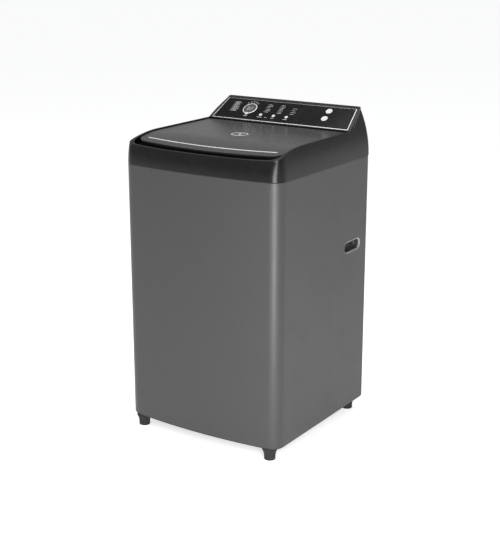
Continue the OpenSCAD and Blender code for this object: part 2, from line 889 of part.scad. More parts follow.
// One coil spring as a swept ring of points along its helix
module coil(r, wire, h, turns) {
    seg = 12;
    side = 6;
    n = turns * seg;
    pts = [for (i = [0:n]) for (j = [0:side - 1])
        let (a = 360 * i / seg, b = 360 * j / side, q = r + wire * cos(b))
        [q * cos(a), q * sin(a), wire + (h - 2 * wire) * i / n + wire * sin(b)]];
    faces = concat(
        [[for (j = [0:side - 1]) j]],
        [for (i = [0:n - 1]) for (j = [0:side - 1]) let (k = (j + 1) % side)
            [i * side + j, (i + 1) * side + j, (i + 1) * side + k, i * side + k]],
        [[for (j = [side - 1:-1:0]) n * side + j]]
    );
    polyhedron(pts, faces);
}

module suspension_springs() {
    color("#9a9da0") rod_places() translate([0, 0, spring_z + part_gap])
        coil(12, 2, ear_z - cup_h - spring_z - part_gap, spring_turns);
}

// ---------- tub ----------

module outer_tub() {
    color("#cfd3d6") difference() {
        union() {
            at_axis() rotate_extrude() polygon([
                [38, plate_z + plate_t], [58, plate_z + plate_t], [58, tub_z], [tub_outer_r, tub_z],
                [tub_outer_r, tub_top_z - 4], [tub_r, tub_top_z - 4], [tub_r, tub_z + tub_floor_t],
                [38, tub_z + tub_floor_t]]);
            difference() {
                for (k = [0:3]) at_axis(ear_z) rotate([0, 0, 45 + 90 * k])
                    translate([tub_r + 1, -22, 0]) cube([rod_off * sqrt(2) + 18 - tub_r, 44, ear_t]);
                at_axis() cylinder(r = tub_r + 1, h = tub_top_z);
            }
        }
        rod_places() cylinder(r = rod_r + 3, h = tub_top_z);
        translate([valve_x, valve_y, tub_z - 10]) cylinder(r = valve_r - 7, h = 30);
    }
}

module tub_cover_ring() {
    color("#dfe2e4") at_axis() rotate_extrude() polygon([
        [opening_r + 16, tub_top_z - 9], [opening_r + 18, tub_top_z - 9],
        [opening_r + 18, tub_top_z - 4], [tub_outer_r + part_gap / 2, tub_top_z - 4],
        [tub_outer_r + part_gap / 2, tub_top_z - 16], [tub_outer_r + 3, tub_top_z - 16],
        [tub_outer_r + 3, tub_top_z], [opening_r + 16, tub_top_z]]);
}

module air_chamber() {
    color("#cfd3d6") difference() {
        translate([tub_outer_r - 4, axis_y - 15, tub_z + 10]) cube([30, 30, 70]);
        at_axis() cylinder(r = tub_outer_r + run_gap, h = tub_top_z);
    }
}

module mount_plate() {
    color("#8a8d90") difference() {
        union() {
            translate([0, 0, plate_z]) linear_extrude(plate_t) {
                translate([0, axis_y]) circle(plate_r);
                translate([motor_x, motor_y]) circle(motor_r + 6);
            }
            translate([pivot_x, pivot_y, rod_z - 8]) cylinder(r = 4, h = plate_z - rod_z + 8);
        }
        at_axis() cylinder(r = bearing_r, h = tub_z);
    }
}

module clutch_housing() {
    color("#a9acae") at_axis() rotate_extrude() polygon([
        [wash_shaft_r + run_gap, housing_z], [housing_r - 12, housing_z],
        [housing_r, housing_z + 12], [housing_r, plate_z - 5], [housing_flange_r, plate_z - 5],
        [housing_flange_r, plate_z], [bearing_r, plate_z], [bearing_r, housing_z + 8],
        [wash_shaft_r + run_gap, housing_z + 8]]);
}

module shaft_bearings() {
    color("#c2c5c7") for (z = [shaft_gap_z + 3, plate_z - 20])
        at_axis(z) tube(bearing_r, spin_shaft_r + run_gap, 15);
}

module drive_motor() {
    color("#77797c") translate([motor_x, motor_y, 0]) difference() {
        translate([0, 0, belt_z + belt_h + 16])
            cylinder(r = motor_r, h = plate_z - belt_z - belt_h - 16);
        translate([0, 0, belt_z]) cylinder(r = 6 + run_gap, h = belt_h + 60);
    }
}

// Outline of a loop round two pulleys a distance apart
module loop(r1, r2, d) {
    b = acos((r1 - r2) / d);
    circle(r1);
    translate([d, 0]) circle(r2);
    polygon([
        r1 * [cos(b), sin(b)], r1 * [cos(b), -sin(b)],
        [d + r2 * cos(b), -r2 * sin(b)], [d + r2 * cos(b), r2 * sin(b)]]);
}

module drive_belt() {
    color("#1c1c1e") at_axis(belt_z + 4) rotate([0, 0, motor_a]) linear_extrude(belt_h - 8) difference() {
        loop(drive_pulley_r + 1.5, motor_pulley_r + 1.5, motor_off);
        loop(drive_pulley_r + 1.5 - belt_t, motor_pulley_r + 1.5 - belt_t, motor_off);
    }
}

// A grooved pulley
module pulley(r) {
    rotate_extrude() polygon([
        [0, 0], [r, 0], [r, 3.2], [r - belt_t + 1, 3.2], [r - belt_t + 1, belt_h - 3.2],
        [r, belt_h - 3.2], [r, belt_h], [0, belt_h]]);
}

module drive_pulley() {
    color("#b0b3b6") at_axis(belt_z) difference() {
        union() {
            pulley(drive_pulley_r);
            cylinder(r = wash_shaft_r, h = shaft_gap_z - belt_z - 4);
            cylinder(r = 16, h = belt_h + 10);
        }
        for (k = [0:4]) rotate([0, 0, 72 * k]) translate([(drive_pulley_r + 8) / 2, 0, -1])
            cylinder(r = 14, h = belt_h + 2);
    }
}

module motor_pulley() {
    color("#b0b3b6") translate([motor_x, motor_y, belt_z]) {
        pulley(motor_pulley_r);
        cylinder(r = 6, h = belt_h + 50);
    }
}

module drain_valve() {
    color("#dfe2e4") difference() {
        union() {
            translate([valve_x, valve_y, valve_z]) cylinder(r = valve_r, h = tub_z - valve_z);
            translate([valve_x, valve_y, valve_z + 18]) rotate([-90, 0, 0]) cylinder(r = 15, h = 60);
        }
        translate([valve_x, valve_y, valve_z + 5]) cylinder(r = valve_r - 7, h = tub_z);
        translate([valve_x, valve_y, valve_z + 18]) rotate([-90, 0, 0]) cylinder(r = 12, h = 70);
        translate([valve_x, valve_y, rod_z]) rotate([0, -90, 0]) cylinder(r = 3.5, h = 40);
    }
}

module drain_actuator() {
    color("#e8e8e0") difference() {
        translate([-18, valve_y - 20, rod_z - 16]) cube([44, 40, plate_z - rod_z + 16]);
        translate([0, valve_y, rod_z]) rotate([0, 90, 0]) cylinder(r = 3.5, h = 40);
    }
}

module drain_plunger() {
    color("#c0c2c4") translate([0, valve_y, rod_z]) rotate([0, 90, 0]) {
        translate([0, 0, plunger_travel + 2]) cylinder(r = 3, h = valve_x - plunger_travel - 8);
        translate([0, 0, pivot_x - lever_half - 6]) cylinder(r = 8, h = 4);
        translate([0, 0, pivot_x + lever_half + 2]) cylinder(r = 8, h = 4);
    }
}

module clutch_lever() {
    color("#6d7073") translate([pivot_x, pivot_y, rod_z - lever_t / 2]) difference() {
        union() {
            cylinder(r = 8, h = lever_t);
            translate([-lever_half, 0, 0]) cube([2 * lever_half, lever_l, lever_t]);
            rotate([0, 0, 235]) translate([-3, 0, 0]) cube([6, 22, lever_t]);
        }
        translate([0, 0, -1]) cylinder(r = 4 + run_gap, h = lever_t + 2);
    }
}

// ---------- basket and pulsator ----------

module spin_basket() {
    wall_z = basket_z + basket_floor_t;
    wall_h = basket_top_z - ring_h - wall_z;
    color("#d3d6d8") at_axis(wall_z) difference() {
        tube(basket_r, basket_r - basket_t, wall_h);
        for (i = [0:basket_cols - 1]) for (j = [0:basket_rows - 1])
            rotate([0, 0, (i + (j % 2) / 2) * 360 / basket_cols])
                translate([basket_r - 5, 0, wall_h * (j + 0.7) / (basket_rows + 0.4)])
                    rotate([0, 90, 0]) cylinder(r = 3, h = 10, $fn = 24);
    }
}

module basket_base() {
    color("#e2e5e7") at_axis(basket_z) rotate_extrude() polygon([
        [spin_shaft_r, 0], [basket_r - 6, 0], [basket_r, 6], [basket_r, basket_floor_t],
        [spin_shaft_r, basket_floor_t]]);
}

module balance_ring() {
    z = basket_top_z - ring_h;
    color("#e2e5e7") at_axis(z) rotate_extrude() polygon(concat(
        [[basket_r - 30, 0], [basket_r, 0]],
        arc([basket_r - 4, ring_h - 4], 4, 0, 90, 6),
        arc([basket_r - 30 + 12, ring_h - 12], 12, 90, 180, 6)
    ));
}

module lint_filters() {
    color("#9fb4c4") for (s = [0, 180]) at_axis(basket_z + 190) rotate([0, 0, s]) intersection() {
        translate([basket_r - 16, -38, 0]) cube([20, 76, 130]);
        tube(basket_r - basket_t, basket_r - 14, 130);
    }
}

module spin_shaft() {
    color("#9da0a3") at_axis() {
        difference() {
            union() {
                translate([0, 0, shaft_gap_z]) cylinder(r = spin_shaft_r, h = basket_z + 6 - shaft_gap_z);
                translate([0, 0, basket_z - hub_t]) cylinder(r = hub_r, h = hub_t);
            }
            translate([0, 0, shaft_gap_z - 1])
                cylinder(r = wash_shaft_r + run_gap, h = basket_z + 20 - shaft_gap_z);
        }
    }
}

module pulsator() {
    z = basket_z + basket_floor_t + 4;
    color("#eceef0") at_axis(z) {
        rotate_extrude() polygon(concat(
            [[0, 0], [pulsator_r - 4, 0], [pulsator_r, 4]],
            [for (i = [0:8]) let (t = i / 8) [pulsator_r * (1 - t), 5 + 15 * pow(sin(90 * t), 2)]]
        ));
        for (k = [0:5]) rotate([0, 0, 60 * k]) intersection() {
            translate([24, -6, 4]) cube([pulsator_r - 34, 12, 30]);
            rotate_extrude() polygon([[0, 0], [pulsator_r - 10, 0], [pulsator_r - 10, 14], [40, 34], [0, 34]]);
        }
        translate([0, 0, 10]) cylinder(r = 30, h = 26);
        translate([0, 0, shaft_gap_z + 4 - z]) cylinder(r = wash_shaft_r, h = z - shaft_gap_z);
    }
}

// ---------- lid ----------

module lid_layer(inset, d0, d1) {
    intersection() {
        translate([0, 0, seam_z]) linear_extrude(top_h) lid_outline(inset);
        along_x(body_w) polygon(band(d0, d1, lid_front_y - 20, lid_rear_y + 20));
    }
}

module lid_frame() {
    color("#1a1a1c") {
        difference() {
            lid_layer(0.6, frame_top, frame_low);
            lid_layer(frame_border, frame_top - 1, frame_low - 2);
            lid_hinges() cube([hinge_notch_w, 2 * hinge_ear_r + 8, 60], center = true);
            lid_hinges() translate([-hinge_notch_w / 2, 0, -30]) cube([hinge_notch_w, 30, 60]);
        }
        lid_hinges() rotate([0, 90, 0]) cylinder(r = pin_r, h = hinge_notch_w + 2, center = true);
    }
}

module lid_hinges() {
    for (s = [-1, 1]) translate([s * hinge_x, hinge_y, hinge_z]) children();
}

// The bowed strip's outline, grown by g on every side
module strip_outline(g) {
    y0 = lid_front_y + strip_back;
    intersection() {
        difference() {
            translate([0, y0 + lid_bow_r]) circle(lid_bow_r + g, $fn = 1440);
            translate([0, y0 + lid_bow_r]) circle(lid_bow_r - strip_w - g, $fn = 1440);
        }
        translate([-strip_l / 2 - g, y0 - 5]) square([strip_l + 2 * g, 60]);
    }
}

module lid_glass() {
    color("#5b5c5c") difference() {
        lid_layer(0, lid_drop, frame_top);
        intersection() {
            translate([0, 0, seam_z]) linear_extrude(top_h) strip_outline(0.1);
            along_x(body_w) polygon(band(0, lid_drop + 1.6, lid_front_y - 20, 0));
        }
        translate([0, badge_y, rim_z - lid_drop - 1]) tube(badge_r + 0.1, badge_r - 1.7, 5);
        translate([0, badge_y, rim_z - lid_drop - 1]) cylinder(r = 8.1, h = 5);
    }
}

module lid_strip() {
    color("#e8e9ea") intersection() {
        translate([0, 0, seam_z]) linear_extrude(top_h) strip_outline(0);
        along_x(body_w) polygon(band(lid_drop - 0.4, lid_drop + 1.6, lid_front_y - 20, 0));
    }
}

module lid_badge() {
    color("#a7a9aa") translate([0, badge_y, rim_z - lid_drop - 1]) {
        tube(badge_r, badge_r - 1.6, 1.3);
        cylinder(r = 8, h = 1.3);
    }
}

module lid_bumpers() {
    color("#1a1a1c") for (x = [-1, 1]) for (y = [hinge_y - 22, brow_y + 10])
        translate([x * (lid_half - 12), y, rim_z - seat_drop + part_gap])
            cylinder(r = 4.5, h = seat_drop - frame_low - part_gap);
}

cabinet_shell();
rear_panel();
rear_screws();
base_frame();
rear_feet();
front_left_foot();
front_right_foot();
left_handle_cup();
right_handle_cup();
top_cover();
lid_hinge_brackets();
lid_sensor();
console_back_cover();
panel_border();
control_panel_glass();
display_ring();
display_window();
button_carrier();
control_board();
program_button();
temperature_button();
level_button();
spin_button();
power_button();
start_button();
inlet_valve();
detergent_housing();
detergent_drawer();
pressure_sensor();
cord_gland();
drain_outlet();
suspension_brackets();
suspension_rods();
suspension_springs();
suspension_cups();
outer_tub();
tub_cover_ring();
air_chamber();
mount_plate();
clutch_housing();
shaft_bearings();
drive_motor();
drive_belt();
drain_valve();
drain_actuator();
drain_plunger();
clutch_lever();
spin_basket();
basket_base();
balance_ring();
lint_filters();
spin_shaft();
pulsator();
drive_pulley();
motor_pulley();
lid_frame();
lid_glass();
lid_strip();
lid_badge();
lid_bumpers();
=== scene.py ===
import math

import bpy
from mathutils import Matrix, Vector


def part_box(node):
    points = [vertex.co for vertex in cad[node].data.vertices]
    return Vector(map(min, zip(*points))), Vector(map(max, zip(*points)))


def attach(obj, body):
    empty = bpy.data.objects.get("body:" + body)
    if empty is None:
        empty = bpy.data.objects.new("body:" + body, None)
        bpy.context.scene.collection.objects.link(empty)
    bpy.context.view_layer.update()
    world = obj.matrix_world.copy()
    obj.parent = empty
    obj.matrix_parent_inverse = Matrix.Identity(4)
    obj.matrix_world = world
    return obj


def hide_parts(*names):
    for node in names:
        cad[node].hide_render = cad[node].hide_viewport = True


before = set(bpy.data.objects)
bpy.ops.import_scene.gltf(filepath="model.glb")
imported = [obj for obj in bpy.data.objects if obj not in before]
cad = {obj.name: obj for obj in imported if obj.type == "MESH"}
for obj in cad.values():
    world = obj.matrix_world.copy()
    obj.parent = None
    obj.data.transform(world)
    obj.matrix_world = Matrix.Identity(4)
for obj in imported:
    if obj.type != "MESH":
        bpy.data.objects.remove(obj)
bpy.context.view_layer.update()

# ======== the room ========
# A pale matt floor under one large overhead softbox, a soft fill from the left and a tall
# narrow light in front of the right front corner, seen by a long lens from above the right.


def soft_light(name, place, aim, width, height, watts):
    """A rectangular softbox that faces a point and is never seen itself."""
    data = bpy.data.lights.new(name, "AREA")
    data.shape = "RECTANGLE"
    data.size = width
    data.size_y = height
    data.energy = watts
    light = bpy.data.objects.new(name, data)
    bpy.context.scene.collection.objects.link(light)
    light.location = place
    light.rotation_euler = (Vector(aim) - Vector(place)).to_track_quat("-Z", "Y").to_euler()
    light.visible_camera = False
    return light


soft_light("overhead_softbox", (-0.5, -0.6, 3.6), (0, 0, 0.4), 3.2, 3.2, 84)
left_fill = soft_light("left_fill", (-2.8, -2.2, 1.6), (0, 0, 0.5), 1.6, 2.2, 16)
left_fill.visible_glossy = False
soft_light("corner_strip", (1.05, -1.25, 0.52), (0.25, -0.25, 0.42), 0.62, 1.20, 27)

# The backdrop is white to the eye, and lights the machine more weakly than it looks.
world = bpy.data.worlds.new("studio")
bpy.context.scene.world = world
world.use_nodes = True
world.node_tree.nodes["Background"].inputs["Color"].default_value = (0.97, 0.98, 1.0, 1)
seen_by = world.node_tree.nodes.new("ShaderNodeLightPath")
sky_level = world.node_tree.nodes.new("ShaderNodeMapRange")
sky_level.inputs["To Min"].default_value = 0.42
sky_level.inputs["To Max"].default_value = 1.05
world.node_tree.links.new(seen_by.outputs["Is Camera Ray"], sky_level.inputs["Value"])
world.node_tree.links.new(sky_level.outputs["Result"], world.node_tree.nodes["Background"].inputs["Strength"])
bpy.context.scene.view_settings.view_transform = "Standard"

bpy.ops.object.select_all(action="DESELECT")
bpy.ops.mesh.primitive_plane_add(size=60, location=(0, 0, 0))
floor = bpy.context.active_object
floor.name = "floor"
floor_finish = bpy.data.materials.new("pale_floor")
floor_finish.use_nodes = True
floor_shader = floor_finish.node_tree.nodes["Principled BSDF"]
floor_shader.inputs["Base Color"].default_value = (0.86, 0.86, 0.86, 1)
floor_shader.inputs["Roughness"].default_value = 0.9
floor_shader.inputs["Specular IOR Level"].default_value = 0.1
floor_shader.inputs["Emission Color"].default_value = (1, 1, 1, 1)
floor_shader.inputs["Emission Strength"].default_value = 0.60
floor.data.materials.append(floor_finish)

lens_azimuth = math.radians(33.446)
lens_dip = math.radians(16.661)
camera_data = bpy.data.cameras.new("camera")
camera_data.lens = 76.22
camera_data.sensor_width = 36
camera_data.sensor_fit = "AUTO"
camera_data.dof.use_dof = False
camera = bpy.data.objects.new("camera", camera_data)
bpy.context.scene.collection.objects.link(camera)
camera.location = (1.9334, -2.9126, 1.4952)
camera.rotation_euler = Vector((
    -math.sin(lens_azimuth) * math.cos(lens_dip),
    math.cos(lens_azimuth) * math.cos(lens_dip),
    -math.sin(lens_dip),
)).to_track_quat("-Z", "Y").to_euler()
bpy.context.scene.camera = camera

# ======== painted steel wrap ========
# One sheet of precoated steel, bent round a bowed front and two broad front corners and
# flanged inwards round the open back. The hand holes are punched, and the edges hemmed.

wrap_half = 0.270
wrap_front_y = -0.270
wrap_back_y = 0.267
wrap_low_z = 0.042
seam_z = 0.825
bow_r = 1.8325
corner_r = 0.040
rear_r = 0.012
sheet_t = 0.0012
back_flange = 0.030
handle_y = 0.170
handle_z = 0.560
handle_l = 0.100
handle_h = 0.037


def nothing_selected():
    if bpy.context.object and bpy.context.object.mode != "OBJECT":
        bpy.ops.object.mode_set(mode="OBJECT")
    bpy.ops.object.select_all(action="DESELECT")


def on_bench(piece):
    """Makes one piece the only one selected and the active one."""
    nothing_selected()
    piece.select_set(True)
    bpy.context.view_layer.objects.active = piece


def from_points(name, points, faces=(), edges=()):
    mesh = bpy.data.meshes.new(name)
    mesh.from_pydata([tuple(p) for p in points], list(edges), list(faces))
    piece = bpy.data.objects.new(name, mesh)
    bpy.context.scene.collection.objects.link(piece)
    return piece


def pick_faces(piece, test):
    """Enters edit mode with the faces selected whose centre and normal pass the test."""
    on_bench(piece)
    bpy.ops.object.mode_set(mode="EDIT")
    bpy.ops.mesh.select_mode(type="FACE")
    bpy.ops.mesh.select_all(action="DESELECT")
    bpy.ops.object.mode_set(mode="OBJECT")
    for face in piece.data.polygons:
        face.select = bool(test(face.center, face.normal))
    bpy.ops.object.mode_set(mode="EDIT")


def pick_edges(piece, test):
    """Enters edit mode with the edges selected whose two ends pass the test."""
    on_bench(piece)
    bpy.ops.object.mode_set(mode="EDIT")
    bpy.ops.mesh.select_mode(type="EDGE")
    bpy.ops.mesh.select_all(action="DESELECT")
    bpy.ops.object.mode_set(mode="OBJECT")
    verts = piece.data.vertices
    for edge in piece.data.edges:
        edge.select = bool(test(verts[edge.vertices[0]].co, verts[edge.vertices[1]].co))
    bpy.ops.object.mode_set(mode="EDIT")


def off_bench():
    bpy.ops.object.mode_set(mode="OBJECT")


def tidy_mesh(piece, gap=0.00001):
    """Merges doubles and turns every face outwards."""
    on_bench(piece)
    bpy.ops.object.mode_set(mode="EDIT")
    bpy.ops.mesh.select_all(action="SELECT")
    bpy.ops.mesh.remove_doubles(threshold=gap)
    bpy.ops.mesh.normals_make_consistent(inside=False)
    bpy.ops.object.mode_set(mode="OBJECT")


def extruded(name, outline, low, high):
    """A closed outline in plan, raised from one height to another."""
    piece = from_points(name, [(x, y, low) for x, y in outline], [range(len(outline))])
    on_bench(piece)
    bpy.ops.object.mode_set(mode="EDIT")
    bpy.ops.mesh.select_all(action="SELECT")
    bpy.ops.mesh.extrude_region_move(TRANSFORM_OT_translate={"value": (0, 0, high - low)})
    bpy.ops.mesh.select_all(action="SELECT")
    bpy.ops.mesh.normals_make_consistent(inside=False)
    bpy.ops.object.mode_set(mode="OBJECT")
    return piece


def with_wall(piece, thickness, offset=-1):
    on_bench(piece)
    wall = piece.modifiers.new("wall", "SOLIDIFY")
    wall.thickness = thickness
    wall.offset = offset
    wall.use_even_offset = True
    bpy.ops.object.modifier_apply(modifier="wall")


def cut_by(piece, cutter, how="DIFFERENCE"):
    on_bench(piece)
    cut = piece.modifiers.new("cut", "BOOLEAN")
    cut.operation = how
    cut.solver = "EXACT"
    cut.object = cutter
    bpy.ops.object.modifier_apply(modifier="cut")
    bpy.data.objects.remove(cutter)


def soft_edges(piece, width, steps=2, angle=35):
    """Rounds the sharp edges and keeps the flat faces flat in shading."""
    on_bench(piece)
    rounding = piece.modifiers.new("rounding", "BEVEL")
    rounding.width = width
    rounding.segments = steps
    rounding.limit_method = "ANGLE"
    rounding.angle_limit = math.radians(angle)
    rounding.use_clamp_overlap = True
    bpy.ops.object.modifier_apply(modifier="rounding")
    even_shade(piece, angle + 8)


def even_shade(piece, angle=40):
    on_bench(piece)
    bpy.ops.object.shade_smooth_by_angle(angle=math.radians(angle))
    weigh = piece.modifiers.new("weigh", "WEIGHTED_NORMAL")
    weigh.keep_sharp = True
    bpy.ops.object.modifier_apply(modifier="weigh")


def arc(cx, cy, r, start, end, steps):
    """Points on an arc in plan, angles in degrees."""
    return [
        (cx + r * math.cos(math.radians(start + (end - start) * i / steps)),
         cy + r * math.sin(math.radians(start + (end - start) * i / steps)))
        for i in range(steps + 1)
    ]


def bowed_half(half, y0, bow, corner, bow_steps=20, corner_steps=14):
    """The right half of a bowed front and its corner: points, and where the corner ends."""
    cy = y0 + bow
    xc = half - corner
    yc = cy - math.sqrt((bow - corner) ** 2 - xc * xc)
    turn = math.degrees(math.atan2(yc - cy, xc))
    return arc(0, cy, bow, -90, turn, bow_steps) + arc(xc, yc, corner, turn, 0, corner_steps)[1:], yc


def stadium(l, h, steps=16):
    """A slot with round ends, about the origin."""
    return arc((l - h) / 2, 0, h / 2, -90, 90, steps) + arc((h - l) / 2, 0, h / 2, 90, 270, steps)


def finish_piece(piece, finish, body, slot, *nodes):
    """Gives a piece its finish, its body and the nodes it stands for. Its slot is not used."""
    piece.data.materials.clear()
    piece.data.materials.append(finish)
    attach(piece, body)
    if nodes:
        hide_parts(*nodes)


def node_group(name, inputs, outputs):
    """An empty shader group with its named sockets, and its input and output nodes."""
    group = bpy.data.node_groups.new(name, "ShaderNodeTree")
    for label, value in inputs:
        socket = group.interface.new_socket(label, in_out="INPUT", socket_type="NodeSocketFloat")
        socket.default_value = value
    for label in outputs:
        group.interface.new_socket(label, in_out="OUTPUT", socket_type="NodeSocketFloat")
    return group, group.nodes.new("NodeGroupInput"), group.nodes.new("NodeGroupOutput")


def wired(tree, kind, links=(), **settings):
    """A node with its settings, and its inputs linked or set."""
    node = tree.nodes.new(kind)
    for key, value in settings.items():
        setattr(node, key, value)
    for label, source in links:
        if hasattr(source, "is_output"):
            tree.links.new(source, node.inputs[label])
        else:
            node.inputs[label].default_value = source
    return node


# Paint texture: the fine waviness of a coil-coated or sprayed face, and broad cloudy changes
# of gloss where it has been wiped and handled.
paint_face, face_in, face_out = node_group("paint_face", [("Fineness", 900.0)], ["Height", "Cloud", "Fleck"])
spots = wired(paint_face, "ShaderNodeTexCoord")
peel = wired(paint_face, "ShaderNodeTexNoise", [
    ("Vector", spots.outputs["Object"]), ("Scale", face_in.outputs["Fineness"]), ("Detail", 3.0),
    ("Roughness", 0.55)])
cloud = wired(paint_face, "ShaderNodeTexNoise", [
    ("Vector", spots.outputs["Object"]), ("Scale", 5.5), ("Detail", 6.0), ("Roughness", 0.6)])
fleck = wired(paint_face, "ShaderNodeTexVoronoi", [
    ("Vector", spots.outputs["Object"]), ("Scale", 2600.0)])
paint_face.links.new(peel.outputs["Fac"], face_out.inputs["Height"])
paint_face.links.new(cloud.outputs["Fac"], face_out.inputs["Cloud"])
paint_face.links.new(fleck.outputs["Distance"], face_out.inputs["Fleck"])

# Handling: soft finger smudges and a little settled dust, as two masks.
handling, hand_in, hand_out = node_group("handling", [("Size", 14.0), ("Dustiness", 0.5)], ["Smudge", "Dust"])
place = wired(handling, "ShaderNodeTexCoord")
blot = wired(handling, "ShaderNodeTexNoise", [
    ("Vector", place.outputs["Object"]), ("Scale", hand_in.outputs["Size"]), ("Detail", 4.0),
    ("Roughness", 0.65), ("Distortion", 0.6)])
blot_edge = wired(handling, "ShaderNodeMapRange", [
    ("Value", blot.outputs["Fac"]), ("From Min", 0.50), ("From Max", 0.72)])
blot_edge.clamp = True
grit = wired(handling, "ShaderNodeTexNoise", [
    ("Vector", place.outputs["Object"]), ("Scale", 420.0), ("Detail", 2.0), ("Roughness", 0.7)])
facing = wired(handling, "ShaderNodeNewGeometry")
upward = wired(handling, "ShaderNodeSeparateXYZ", [("Vector", facing.outputs["Normal"])])
settled = wired(handling, "ShaderNodeMapRange", [
    ("Value", upward.outputs["Z"]), ("From Min", 0.2), ("From Max", 1.0)])
settled.clamp = True
speck = wired(handling, "ShaderNodeMapRange", [
    ("Value", grit.outputs["Fac"]), ("From Min", 0.45), ("From Max", 0.85)])
speck.clamp = True
dusty = wired(handling, "ShaderNodeMath", [(0, settled.outputs["Result"]), (1, speck.outputs["Result"])],
              operation="MULTIPLY")
dust_amount = wired(handling, "ShaderNodeMath", [
    (0, dusty.outputs["Value"]), (1, hand_in.outputs["Dustiness"])],
                    operation="MULTIPLY")
handling.links.new(blot_edge.outputs["Result"], hand_out.inputs["Smudge"])
handling.links.new(dust_amount.outputs["Value"], hand_out.inputs["Dust"])


def finish_of(name, colour, roughness, metallic=0.0, specular=0.5, coat=0.0, coat_roughness=0.1,
              grain="paint", fineness=900.0, depth=0.02, bump_size=0.0004, tint=0.08, gloss_change=0.1,
              smudges=0.05, dust=0.3, fleck=0.0):
    """A procedural finish: a base colour that drifts a little, a gloss that smudges and dust
    change, and a fine surface relief."""
    material = bpy.data.materials.new(name)
    material.use_nodes = True
    tree = material.node_tree
    shader = tree.nodes["Principled BSDF"]
    shader.inputs["Metallic"].default_value = metallic
    shader.inputs["Specular IOR Level"].default_value = specular
    shader.inputs["Coat Weight"].default_value = coat
    shader.inputs["Coat Roughness"].default_value = coat_roughness
    face = wired(tree, "ShaderNodeGroup", node_tree=paint_face)
    face.inputs["Fineness"].default_value = fineness
    touch = wired(tree, "ShaderNodeGroup", node_tree=handling)
    touch.inputs["Dustiness"].default_value = dust
    drift = wired(tree, "ShaderNodeMapRange", [
        ("Value", face.outputs["Cloud"]), ("From Min", 0.25), ("From Max", 0.75),
        ("To Min", 1 - tint), ("To Max", 1 + tint)])
    flecks = wired(tree, "ShaderNodeMapRange", [
        ("Value", face.outputs["Fleck"]), ("From Min", 0.0), ("From Max", 0.6),
        ("To Min", 1 + fleck), ("To Max", 1 - fleck)])
    value = wired(tree, "ShaderNodeMath", [(0, drift.outputs["Result"]), (1, flecks.outputs["Result"])],
                  operation="MULTIPLY")
    toned = wired(tree, "ShaderNodeVectorMath", [(0, colour), (3, value.outputs["Value"])], operation="SCALE")
    dusted = wired(tree, "ShaderNodeMix", [("Factor", touch.outputs["Dust"])], data_type="RGBA")
    tree.links.new(toned.outputs["Vector"], dusted.inputs["A"])
    dusted.inputs["B"].default_value = (0.42, 0.41, 0.39, 1)
    tree.links.new(dusted.outputs["Result"], shader.inputs["Base Color"])
    gloss = wired(tree, "ShaderNodeMapRange", [
        ("Value", face.outputs["Cloud"]), ("From Min", 0.2), ("From Max", 0.8),
        ("To Min", roughness - gloss_change * roughness), ("To Max", roughness + gloss_change * roughness)])
    smudged = wired(tree, "ShaderNodeMath", [
        (0, touch.outputs["Smudge"]), (1, smudges), (2, gloss.outputs["Result"])], operation="MULTIPLY_ADD")
    smudged.use_clamp = True
    tree.links.new(smudged.outputs["Value"], shader.inputs["Roughness"])
    relief = wired(tree, "ShaderNodeBump", [
        ("Strength", depth * 10), ("Distance", bump_size), ("Height", face.outputs["Height"])])
    tree.links.new(relief.outputs["Normal"], shader.inputs["Normal"])
    return material


cabinet_paint = finish_of("cabinet_paint", (0.0500, 0.0483, 0.0481), 0.46, metallic=0.25, specular=0.34,
                          coat=0.16, coat_roughness=0.34, fineness=700, depth=0.025, bump_size=0.0003,
                          tint=0.03, smudges=0.05, dust=0.08, fleck=0.10)

right_front, crease_y = bowed_half(wrap_half, wrap_front_y, bow_r, corner_r)
right_side = [
    (wrap_half, crease_y + 0.0020), (wrap_half - 0.0004, crease_y + 0.0026), (wrap_half, crease_y + 0.0032),
    (wrap_half, wrap_back_y - rear_r)]
right_back = arc(wrap_half - rear_r, wrap_back_y - rear_r, rear_r, 0, 90, 8) + [
    (wrap_half - back_flange, wrap_back_y)]
right_wrap = right_front + right_side + right_back
wrap_line = [(-x, y) for x, y in reversed(right_wrap)] + right_wrap[1:]
wrap = from_points("painted_wrap", [(x, y, wrap_low_z) for x, y in wrap_line],
                   edges=[(i, i + 1) for i in range(len(wrap_line) - 1)])
on_bench(wrap)
bpy.ops.object.mode_set(mode="EDIT")
bpy.ops.mesh.select_all(action="SELECT")
bpy.ops.mesh.extrude_edges_move(TRANSFORM_OT_translate={"value": (0, 0, seam_z - wrap_low_z)})
bpy.ops.mesh.select_all(action="SELECT")
bpy.ops.mesh.normals_make_consistent(inside=False)
off_bench()
front_face = min(wrap.data.polygons, key=lambda f: f.center.y)
if front_face.normal.y > 0:
    wrap.data.flip_normals()
with_wall(wrap, sheet_t)
for side in (-1, 1):
    punch = extruded("punch", stadium(handle_l, handle_h), -0.02, 0.02)
    on_bench(punch)
    punch.matrix_world = Matrix.Translation((side * wrap_half, handle_y, handle_z)) @ Matrix(
        ((0, 0, 1, 0), (1, 0, 0, 0), (0, 1, 0, 0), (0, 0, 0, 1)))
    bpy.ops.object.transform_apply(location=True, rotation=True, scale=True)
    tidy_mesh(punch)
    cut_by(wrap, punch)
pick_edges(wrap, lambda a, b: min(a.z, b.z) > seam_z - 0.0001 and all(
    min(abs(e.x - x) + abs(e.y - y) for x, y in wrap_line) < 0.0003 for e in (a, b)))
bpy.ops.mesh.bevel(offset=0.0011, offset_type="OFFSET", segments=4, affect="EDGES")
off_bench()
soft_edges(wrap, 0.0004, 2, 50)
finish_piece(wrap, cabinet_paint, "cabinet", "cabinet_paint", "cabinet_shell")
